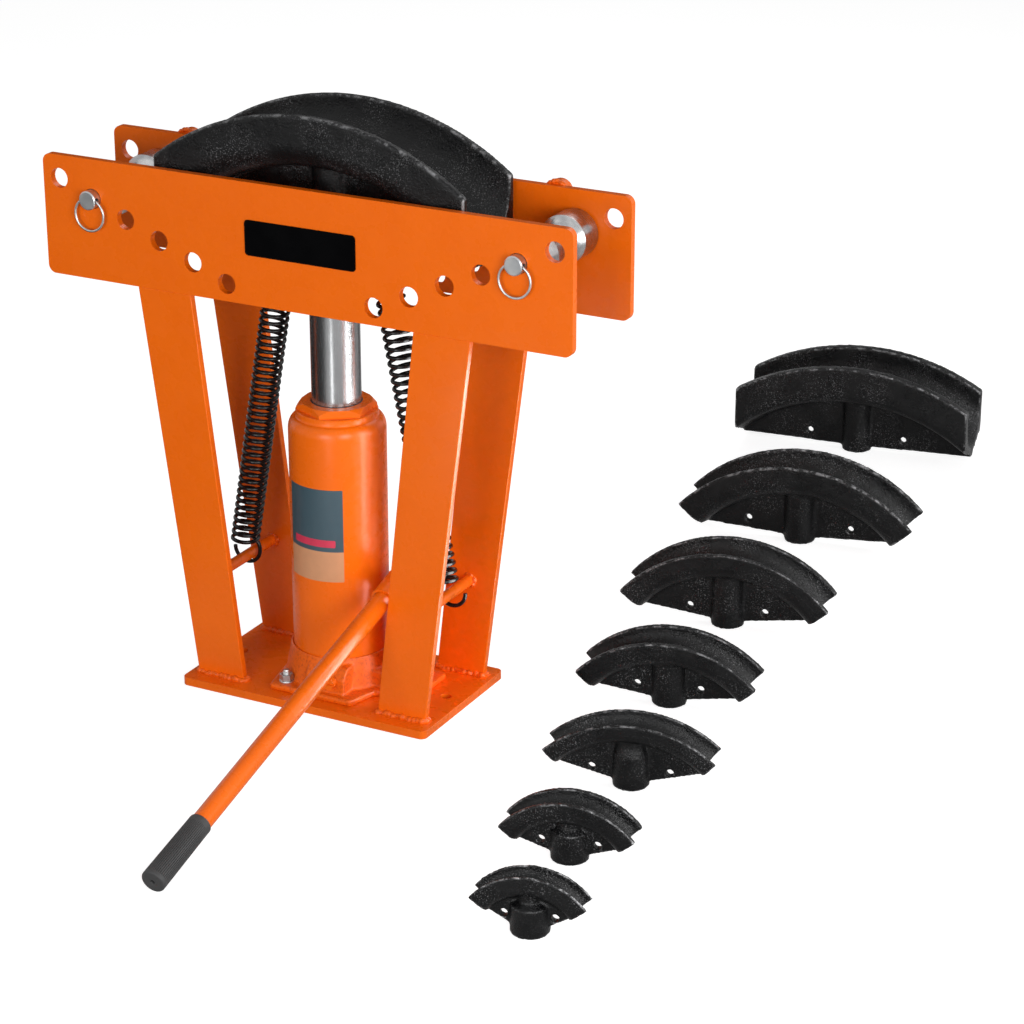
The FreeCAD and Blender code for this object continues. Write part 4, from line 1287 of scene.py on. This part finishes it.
    def washer(self, place: Vector, hole: float, low: float, high: float) -> Piece:
        """Stamps a washer with a rolled upper edge.

        Args:
            place: The washer's axis.
            hole: Radius of the stud through it.
            low: Height of its lower face.
            high: Height of its upper face.

        Returns:
            The washer.
        """
        radius = self.washer_radius
        inner = hole + 0.1 * MM
        outline = [(inner, low), (radius - 0.2 * MM, low), (radius, low + 0.2 * MM)]
        outline += [(radius, high - 0.5 * MM), (radius - 0.15 * MM, high - 0.15 * MM)]
        outline += [(radius - 0.5 * MM, high), (inner, high), (inner, low)]
        washer = turned("washer", outline, 48)
        move_to(washer, place)
        smooth(washer)
        return washer

    def valve(self) -> None:
        """Softens the release valve."""
        refined("release_valve", "turned", self.valve_edge, self.finishes.coat, Slot.ZINC)


@dataclass
class Spring:
    """One return spring: open coils with a swung-out hook at each end."""

    side: Side
    turns: int
    lean: float
    swing: float
    wire: float = 4.3 * MM
    outside: float = 31.8 * MM
    low_reach: float = 14.0 * MM
    high_reach: float = 6.0 * MM
    hook_plane: float = 13.0 * MM
    low_radius: float = 15.5 * MM
    hook_sweep: float = 172.0
    clearance: float = 0.3 * MM
    coil_steps: int = 30
    wire_sides: int = 12
    quarter_steps: int = 14
    hook_steps: int = 26

    @property
    def mean(self) -> float:
        """Radius of the coil's centre line."""
        return (self.outside - self.wire) / 2

    def ends(self) -> tuple[Vector, Vector, float, float]:
        """Finds the bars that the spring hooks on.

        Returns:
            The lower bar's and the upper pin's centre, and their radii.
        """
        low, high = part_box("spring_rod_" + self.side.word)
        foot = (low + high) / 2
        foot.y = 0
        bar = (high.z - low.z) / 2
        low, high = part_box("yoke_pins")
        pin = (high.z - low.z) / 2
        x = high.x - pin if self.side is Side.RIGHT else low.x + pin
        return foot, Vector((x, 0, (low.z + high.z) / 2)), bar, pin

    def build(self, finishes: Finishes) -> None:
        """Winds the spring, bends its hooks and stretches it between its two bodies.

        Args:
            finishes: The bender's materials.
        """
        rod, head, bar, pin = self.ends()
        foot = rod + ALONG * self.side.value * self.lean
        way = (head - foot).normalized()
        inwards = Vector((way.z, 0, -way.x)) * -self.side.value
        slack = self.low_radius - self.wire / 2 - self.clearance - bar
        hang = rod + Vector((self.side.value * self.swing, 0, math.sqrt(slack ** 2 - self.swing ** 2)))
        low_eye = ((hang - foot).dot(inwards), (hang - foot).dot(way))
        high_eye = (0.0, (head - foot).length - (self.mean - self.wire / 2 - self.clearance - pin))
        start = slack + self.low_reach
        end = high_eye[1] - self.high_reach
        coil = self.wind(start, end)
        self.hook(coil, self.bend(start, low_eye, self.low_radius, -1))
        self.hook(coil, self.bend(end, high_eye, self.mean, 1))
        with editing(coil, "VERT"):
            bpy.ops.mesh.select_all(action="SELECT")
            if self.side is Side.RIGHT:
                bpy.ops.transform.resize(value=(-1, 1, 1), center_override=(0, 0, 0))
            tidy_shell()
        activate(coil)
        bpy.ops.object.shade_smooth()
        stand_along(coil, foot, way)
        coil.data.materials.clear()
        coil.data.materials.append(finishes.spring)
        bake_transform(coil, "frame", "ram", foot + way * start, foot + way * end)
        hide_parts("spring_" + self.side.word)
        LOG.info("%s: %d faces", coil.name, len(coil.data.polygons))

    def wind(self, start: float, end: float) -> Piece:
        """Winds the coils upright about the Z axis.

        Args:
            start: Height of their lower end.
            end: Height of their upper end.

        Returns:
            The coils, open at both ends.
        """
        bpy.ops.object.select_all(action="DESELECT")
        bpy.ops.mesh.primitive_circle_add(vertices=self.wire_sides, radius=self.wire / 2,
                                          location=(0, self.mean, start), rotation=(0, math.pi / 2, 0))
        coil = bpy.context.object
        coil.name = "return_spring_" + self.side.word
        settle(coil)
        modify(coil, "SCREW", axis="Z", angle=FULL_TURN, screw_offset=(end - start) / self.turns,
               iterations=self.turns, steps=self.coil_steps, render_steps=self.coil_steps,
               use_merge_vertices=False)
        return coil

    def bend(self, level: float, eye: tuple[float, float], radius: float,
             way: int) -> list[tuple[Vector, float]]:
        """Lays out a hook: a quarter turn out of the coil, then an arc round its eye.

        Args:
            level: Height of the coil's end.
            eye: X and Z of the hook's centre.
            radius: Radius of the arc's centre line.
            way: -1 for the lower hook, 1 for the upper one.

        Returns:
            Points of the wire's centre line, each with the wire's turn about Y so far.
        """
        wide = radius - way * eye[0]
        tall = way * (eye[1] - level)
        path = []
        quarter, count = self.quarter_steps, self.hook_steps
        for step in range(quarter + 1):
            turn = math.pi / 2 * step / quarter
            across = self.mean + (self.hook_plane - self.mean) * step / quarter
            place = Vector((-way * wide * math.sin(turn), across, eye[1] - way * tall * math.cos(turn)))
            path.append((place, math.atan2(tall * math.sin(turn), wide * math.cos(turn))))
        for step in range(1, count + 1):
            turn = math.radians(self.hook_sweep) * step / count
            place = Vector((eye[0] - way * radius * math.cos(turn), self.hook_plane,
                            eye[1] + way * radius * math.sin(turn)))
            path.append((place, math.pi / 2 + turn))
        return path

    def hook(self, coil: Piece, path: Sequence[tuple[Vector, float]]) -> None:
        """Draws the coil's open end out along a hook and closes it.

        Args:
            coil: The wound coil, upright.
            path: The hook's centre line and its turns about Y, from the coil's end on.
        """
        mouth = path[0][0]
        with editing(coil, "EDGE"):
            pick_edges(lambda one, two: self.at_mouth(one, mouth) and self.at_mouth(two, mouth))
            for (start, before), (end, after) in zip(path, path[1:]):
                bpy.ops.mesh.extrude_region_move(TRANSFORM_OT_translate={"value": end - start})
                mesh = bmesh.from_edit_mesh(coil.data)
                ring = [vertex for vertex in mesh.verts if vertex.select]
                bmesh.ops.rotate(mesh, cent=end, matrix=Matrix.Rotation(after - before, 3, "Y"), verts=ring)
                bmesh.update_edit_mesh(coil.data)
            bpy.ops.mesh.edge_face_add()

    def at_mouth(self, point: Vector, mouth: Vector) -> bool:
        """Whether a point lies on the open end of the coil's wire round a mouth's centre."""
        return abs(point.x) < MM / 100 and (point - mouth).length < (self.wire / 2) * 1.02


@dataclass
class RamHead:
    """Ram, the yoke on it, the yoke's pins and the return springs."""

    finishes: Finishes
    neck: float = 24.4 * MM
    tip_chamfer: float = 1.0 * MM
    yoke_edge: float = 1.4 * MM
    pin_edge: float = 0.8 * MM

    def build(self) -> None:
        """Makes every piece that rises with the ram."""
        self.ram()
        refined("spring_yoke", "painted", self.yoke_edge, self.finishes.coat, Slot.ORANGE)
        refined("yoke_pins", "rounded", self.pin_edge, self.finishes.zinc, Slot.ZINC)
        Spring(Side.LEFT, 39, 0.0, 1.8 * MM).build(self.finishes)
        Spring(Side.RIGHT, 35, 7.0 * MM, 5.0 * MM).build(self.finishes)
        dress("ram_piston", self.finishes.cylinder)
        dress("piston_seal", self.finishes.seal)

    def ram(self) -> None:
        """Turns the ram with the neck that the die sits on."""
        low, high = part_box("ram")
        radius = (high.x - low.x) / 2
        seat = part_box("spring_yoke")[0].z
        neck = self.neck / 2
        trim = self.tip_chamfer
        outline = [(0, low.z), (radius - trim, low.z), (radius, low.z + trim)]
        outline += [(radius, low.z + (seat - low.z) * step / 6) for step in range(1, 6)]
        outline += [(radius, seat - trim), (radius - trim, seat), (neck, seat), (neck, high.z - trim)]
        outline += [(neck - trim, high.z), (0, high.z)]
        ram = turned("ram_polished", outline, 160)
        smooth(ram)
        finish(ram, self.finishes.ram, Slot.RAM, "ram")


@dataclass
class HandPump:
    """Pump barrel, nut, plunger, fulcrum post, pins and lever."""

    finishes: Finishes
    edge: float = 0.7 * MM

    def build(self) -> None:
        """Makes every piece of the pump."""
        for node in ("pump_barrel", "fulcrum_post", "pump_lever", "pump_nut"):
            refined(node, "painted", self.edge, self.finishes.coat, Slot.ORANGE)
        for node in ("pump_plunger", "fulcrum_pin", "plunger_pin"):
            refined(node, "plated", self.edge, self.finishes.zinc, Slot.ZINC)


@dataclass
class PumpHandle:
    """Painted tube with a fluted rubber grip."""

    finishes: Finishes
    wall: float = 1.8 * MM
    tube_trim: float = 0.6 * MM
    flutes: int = 40
    flute_depth: float = 0.75 * MM
    flute_ease: float = 0.8 * MM
    steps_per_flute: int = 6
    collar: float = 8.0 * MM
    plain_end: float = 3.0 * MM
    rounding: float = 2.2 * MM
    mouth_round: float = 1.2 * MM
    end_hole: float = 2.25 * MM
    hole_lip: float = 0.4 * MM
    bore: float = 10.3 * MM
    end_wall: float = 4.0 * MM
    taper: float = 0.7 * MM

    def build(self) -> None:
        """Makes the tube and the grip."""
        axis = self.axis()
        self.tube(axis)
        self.grip(axis)

    def axis(self) -> Vector:
        """Unit vector along the handle, inwards from the grip."""
        for joint in frame["joints"]:
            if joint["name"] == "handle_slide":
                way = Vector(joint["axis"]).normalized()
        return way if way.y > 0 else -way

    def tube(self, way: Vector) -> None:
        """Turns the handle's tube.

        Args:
            way: The handle's axis.
        """
        start, end = centre_line("handle_tube", way)
        low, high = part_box("handle_tube")
        radius = (high.x - low.x) / 2
        inner = radius - self.wall
        length = (end - start).length
        trim = self.tube_trim
        outline = [(inner, 0), (radius - trim, 0), (radius, trim)]
        outline += [(radius, length * step / 6) for step in range(1, 6)]
        outline += [(radius, length - trim), (radius - trim, length), (inner, length), (inner, 0)]
        tube = turned("handle_tube_painted", outline, 72)
        smooth(tube)
        stand_along(tube, start, way)
        finish(tube, self.finishes.coat, Slot.ORANGE, "handle_tube")

    def grip(self, way: Vector) -> None:
        """Moulds the grip: rounded closed end, flutes and a plain collar.

        Args:
            way: The handle's axis.
        """
        start, end = centre_line("handle_grip", way)
        low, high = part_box("handle_grip")
        length = (end - start).length
        wide = (high.x - low.x) / 2
        narrow = wide - self.taper
        round_off = self.rounding
        bore, floor, hole = self.bore, self.end_wall, self.end_hole
        lip, ease, mouth = self.hole_lip, self.flute_ease, self.mouth_round
        outline = [(hole, floor), (hole, lip), (hole + lip, 0)]
        outline += arc((wide - round_off, round_off), (round_off, round_off), (-90.0, 0.0), 6)
        fluted = [self.plain_end + round_off, length - self.collar]
        outline += [(wide, fluted[0] - ease), (wide, fluted[0])]
        outline += [(wide + (narrow - wide) * step / 6, fluted[0] + (fluted[1] - fluted[0]) * step / 6)
                    for step in range(1, 7)]
        outline += [(narrow, fluted[1] + ease)]
        outline += arc((narrow - mouth, length - mouth), (mouth, mouth), (0.0, 90.0), 5)
        outline += [(bore, length), (bore, floor), (hole, floor)]
        per_flute = self.steps_per_flute
        sleeve = turned("handle_grip_fluted", outline, self.flutes * per_flute)
        sector = FULL_TURN / self.flutes
        with editing(sleeve, "VERT"):
            pick_points(lambda point: fluted[0] - MM / 10 < point.z < fluted[1] + MM / 10
                        and point.xy.length > narrow - MM
                        and self.in_flute(point, sector, per_flute))
            depth = (narrow - self.flute_depth) / narrow
            bpy.ops.transform.resize(value=(depth, depth, 1), center_override=(0, 0, 0))
        smooth(sleeve, 50.0)
        stand_along(sleeve, start, way)
        finish(sleeve, self.finishes.grip, Slot.GRIP, "handle_grip")

    @staticmethod
    def in_flute(point: Vector, sector: float, per_flute: int) -> bool:
        """Whether a point lies in the floor of a flute."""
        share = (math.atan2(point.y, point.x) % sector) / sector * per_flute
        return share < 1.5 or share > per_flute - 0.5


@dataclass
class RollerPair:
    """Turned rollers on their pins, with a pull ring at the front of each pin."""

    finishes: Finishes
    band: float = 29.5 * MM
    waist: float = 17.0 * MM
    waist_steps: int = 16
    bore: float = 11.5 * MM
    chamfer: float = 1.5 * MM
    hub: float = 6.0 * MM
    recess: float = 0.8 * MM
    edge: float = 0.25 * MM
    ring_wire: float = 1.3 * MM
    ring_gap: float = 3.0
    pin_edge: float = 0.3 * MM

    def build(self) -> None:
        """Makes both sides."""
        for side in Side:
            self.roller(side)
            self.pin(side)
            self.ring(side)

    def roller(self, side: Side) -> None:
        """Turns a roller with a hollow waist between two bands.

        Args:
            side: Which of the two.
        """
        node = "roller_" + side.word
        start, end = centre_line(node, ACROSS)
        low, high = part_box(node)
        rim = (high.z - low.z) / 2
        length = (end - start).length
        half = length / 2 - self.band
        depth = rim - self.waist
        curve = (half * half + depth * depth) / (2 * depth)
        face = self.bore + self.hub
        outline = [(self.bore, self.chamfer / 2), (self.bore + self.chamfer / 2, self.recess)]
        outline += [(face, self.recess), (face + self.recess, 0)]
        outline += [(rim - self.chamfer, 0), (rim, self.chamfer), (rim, self.band / 2)]
        reach = math.degrees(math.asin(half / curve))
        for step in range(self.waist_steps + 1):
            angle = math.radians(-reach + 2 * reach * step / self.waist_steps)
            outline.append((self.waist + curve * (1 - math.cos(angle)), length / 2 + curve * math.sin(angle)))
        outline += [(radius, length - height) for radius, height in reversed(outline[:7])]
        outline.append(outline[0])
        roller = turned(node + "_turned", outline, 96)
        soften(roller, self.edge, 2, 25.0)
        stand_along(roller, start, ACROSS)
        finish(roller, self.finishes.roller, Slot.ROLLER, node)

    def pin(self, side: Side) -> None:
        """Softens a roller's pin.

        Args:
            side: Which of the two.
        """
        refined("roller_pin_" + side.word, "plated", self.pin_edge, self.finishes.zinc, Slot.ZINC, 2)

    def ring(self, side: Side) -> None:
        """Bends a pull ring from wire, with its two ends closed against each other.

        Args:
            side: Which of the two.
        """
        node = "pull_ring_" + side.word
        low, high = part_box(node)
        centre = (low + high) / 2
        mean = (high.x - low.x) / 2 - self.ring_wire
        bpy.ops.object.select_all(action="DESELECT")
        bpy.ops.mesh.primitive_circle_add(vertices=16, radius=self.ring_wire, location=(mean, 0, 0),
                                          rotation=(math.pi / 2, 0, 0), fill_type="NGON")
        ring = bpy.context.object
        ring.name = node + "_wire"
        settle(ring)
        with editing(ring, "FACE"):
            bpy.ops.mesh.select_all(action="SELECT")
            bpy.ops.mesh.spin(steps=96, angle=FULL_TURN - math.radians(self.ring_gap), center=(0, 0, 0),
                              axis=-UP)
            tidy_shell()
        soften(ring, 0.15 * MM, 2, 60.0)
        ring.rotation_euler = (math.pi / 2, math.radians(-90 + self.ring_gap / 2), 0)
        ring.location = centre
        settle(ring)
        finish(ring, self.finishes.zinc, Slot.ZINC, node)


@dataclass
class DieSet:
    """The mounted die and the loose ones beside the bender."""

    finishes: Finishes
    names: tuple[str, ...] = (
        "die_3_inch", "die_2_1_2_inch", "die_2_inch", "die_1_1_2_inch", "die_1_1_4_inch", "die_1_inch",
        "die_3_4_inch", "die_1_2_inch")
    coarse: float = 1.9 * MM
    fine: float = 1.3 * MM
    wide: float = 300 * MM
    rounds: int = 4
    skin: float = 0.35 * MM

    def build(self) -> None:
        """Casts each die and flattens its foot."""
        for name in self.names:
            low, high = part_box(name)
            grain = self.coarse if (high - low).xy.length > self.wide else self.fine
            die = copied(name, name + "_cast")
            cast(die, grain, self.rounds, self.skin)
            with editing(die, "VERT"):
                pick_points(lambda point: point.z < low.z + self.skin)
                bpy.ops.transform.resize(value=(1, 1, 0), center_override=(0, 0, low.z + self.skin / 8))
            finish(die, self.finishes.iron, Slot.DIE, name)


@dataclass
class Studio:
    """Pale floor, soft lamps, reflecting cards and the camera."""

    camera_place: tuple[float, float, float] = (1.5146, -2.5085, 1.3579)
    camera_target: tuple[float, float, float] = (0.204184, 0.0, 0.231994)
    lamp_target: tuple[float, float, float] = (0.1, 0.0, 0.3)
    lens: float = 105.63
    sensor: float = 36.0
    ambient: float = 0.26
    floor_size: float = 9.0
    floor_middle: tuple[float, float, float] = (0.2, 0.3, -0.4 * MM)
    floor_colour: float = 0.50
    floor_white: float = 0.82
    floor_mirrored: float = 0.15

    def build(self) -> None:
        """Sets up the floor, the world, the lamps and the camera."""
        self.floor()
        self.world()
        self.lamp("side_lamp", (2.4, 0.1, 0.7), (1.0, 1.2), 28.5)
        self.lamp("corner_lamp", (2.2, -1.9, 1.0), (1.2, 1.0), 38.6)
        self.lamp("front_lamp", (0.2, -3.0, 0.8), (1.2, 0.8), 30.6)
        self.lamp("back_lamp", (0.0, 2.2, 2.2), (1.6, 1.0), 17.2)
        self.card("dark_card", Vector((-1.05, -0.75, 0.01)), Vector((-1.05, -0.75, 1.0)), (1.5, 1.9), 0.01)
        self.card("back_card", Vector((-0.6, 2.0, 1.1)), Vector((0.3, 0.0, 0.4)), (2.8, 1.7), 0.03)
        self.card("bright_card", Vector((0.25, 0.02, 0.175)), Vector((0.0, 0.0, 0.175)), (0.115, 0.35), 17.0)
        self.card("thin_card", Vector((0.075, -0.33, 0.24)), Vector((0.0, 0.0, 0.24)), (0.020, 0.12), 12.0)
        self.camera()
        bpy.context.scene.view_settings.view_transform = "Standard"

    def floor(self) -> None:
        """Lays the floor, white to the camera and shaded by the object."""
        bpy.ops.object.select_all(action="DESELECT")
        bpy.ops.mesh.primitive_plane_add(size=self.floor_size, location=self.floor_middle)
        floor = bpy.context.object
        floor.name = "studio_floor"
        settle(floor)
        paper = Surface("studio_floor_paper")
        nodes, links = paper.nodes, paper.links
        nodes.remove(paper.shader)
        matt = nodes.new("ShaderNodeBsdfDiffuse")
        matt.inputs["Color"].default_value = (self.floor_colour,) * 3 + (1.0,)
        glow = nodes.new("ShaderNodeEmission")
        path = nodes.new("ShaderNodeLightPath")
        white = paper.combine("MULTIPLY", path.outputs["Is Camera Ray"], self.floor_white)
        mirrored = paper.combine("MULTIPLY", path.outputs["Is Glossy Ray"], self.floor_mirrored)
        links.new(paper.combine("ADD", white, mirrored), glow.inputs["Strength"])
        both = nodes.new("ShaderNodeAddShader")
        links.new(matt.outputs["BSDF"], both.inputs[0])
        links.new(glow.outputs["Emission"], both.inputs[1])
        links.new(both.outputs["Shader"], nodes["Material Output"].inputs["Surface"])
        floor.data.materials.append(paper.material)

    def seen(self, nodes: bpy.types.Nodes, links: bpy.types.NodeLinks) -> Socket:
        """Tells what the camera, metal and glass see from what lights the object.

        Args:
            nodes: The tree's nodes.
            links: The tree's links.

        Returns:
            1 for camera, glossy and transmission rays, and 0 for the rest.
        """
        path = nodes.new("ShaderNodeLightPath")
        total = path.outputs["Is Camera Ray"]
        for kind in ("Is Glossy Ray", "Is Transmission Ray"):
            node = nodes.new("ShaderNodeMath")
            node.operation = "MAXIMUM"
            links.new(total, node.inputs[0])
            links.new(path.outputs[kind], node.inputs[1])
            total = node.outputs["Value"]
        return total

    def world(self) -> None:
        """Makes the white surroundings."""
        world = bpy.data.worlds.new("studio_world")
        bpy.context.scene.world = world
        world.use_nodes = True
        nodes, links = world.node_tree.nodes, world.node_tree.links
        soft = nodes["Background"]
        soft.inputs["Color"].default_value = (*WHITE, 1.0)
        soft.inputs["Strength"].default_value = self.ambient
        white = nodes.new("ShaderNodeBackground")
        white.inputs["Color"].default_value = (*WHITE, 1.0)
        white.inputs["Strength"].default_value = 1.0
        mix = nodes.new("ShaderNodeMixShader")
        links.new(self.seen(nodes, links), mix.inputs["Fac"])
        links.new(soft.outputs["Background"], mix.inputs[1])
        links.new(white.outputs["Background"], mix.inputs[2])
        links.new(mix.outputs["Shader"], nodes["World Output"].inputs["Surface"])

    def aim(self, thing: Piece, place: Sequence[float], target: Vector) -> None:
        """Puts a lamp, card or camera at a place and turns its -Z towards a target."""
        thing.location = place
        thing.rotation_mode = "QUATERNION"
        thing.rotation_quaternion = (target - Vector(place)).to_track_quat("-Z", "Y")

    def lamp(self, name: str, place: Sequence[float], size: tuple[float, float], power: float) -> None:
        """Hangs a soft rectangular lamp.

        Args:
            name: The lamp's name.
            place: Where it hangs.
            size: Width and height.
            power: Watts.
        """
        data = bpy.data.lights.new(name, "AREA")
        data.shape = "RECTANGLE"
        data.size, data.size_y = size
        data.energy = power
        lamp = bpy.data.objects.new(name, data)
        bpy.context.scene.collection.objects.link(lamp)
        self.aim(lamp, place, Vector(self.lamp_target))

    def card(self, name: str, place: Vector, target: Vector, size: tuple[float, float], glow: float) -> None:
        """Puts up a card that only reflections show.

        Args:
            name: The card's name.
            place: Where its middle is.
            target: The point that it faces.
            size: Its width and height, or its lengths along X and Y if it lies on the floor.
            glow: How bright it is.
        """
        bpy.ops.object.select_all(action="DESELECT")
        bpy.ops.mesh.primitive_plane_add(size=1.0)
        card = bpy.context.object
        card.name = name
        card.scale = (size[0], size[1], 1.0)
        self.aim(card, place, target)
        settle(card)
        with editing(card, "FACE"):
            bpy.ops.mesh.select_all(action="SELECT")
            bpy.ops.mesh.flip_normals()
        sheet = Surface(name + "_sheet")
        cloud = sheet.spread(sheet.noise(12.0), 0.3, 0.7, 0.92, 1.0)
        back = sheet.nodes.new("ShaderNodeNewGeometry").outputs["Backfacing"]
        front = sheet.combine("SUBTRACT", cloud, back)
        shown = sheet.combine("MAXIMUM", front, 0.0)
        sheet.feed("Emission Strength", sheet.combine("MULTIPLY", shown, glow))
        sheet.plain(Base_Color=BLACK, Emission_Color=WHITE, Roughness=1.0, Specular_IOR_Level=0.0)
        card.data.materials.append(sheet.material)
        card.visible_camera = False
        card.visible_diffuse = False
        card.visible_shadow = False

    def camera(self) -> None:
        """Sets the camera at the photograph's angle."""
        data = bpy.data.cameras.new("camera")
        data.lens = self.lens
        data.sensor_width = self.sensor
        camera = bpy.data.objects.new("camera", data)
        bpy.context.scene.collection.objects.link(camera)
        self.aim(camera, self.camera_place, Vector(self.camera_target))
        bpy.context.scene.camera = camera


def main() -> None:
    """Builds the bender sub-assembly by sub-assembly, then the studio."""
    logging.basicConfig(level=logging.INFO, format="%(message)s")
    finishes = Finishes()
    for assembly in (WeldedFrame, BottleJack, RamHead, HandPump, PumpHandle, RollerPair, DieSet):
        assembly(finishes).build()
    Studio().build()


if __name__ == "__main__":
    main()
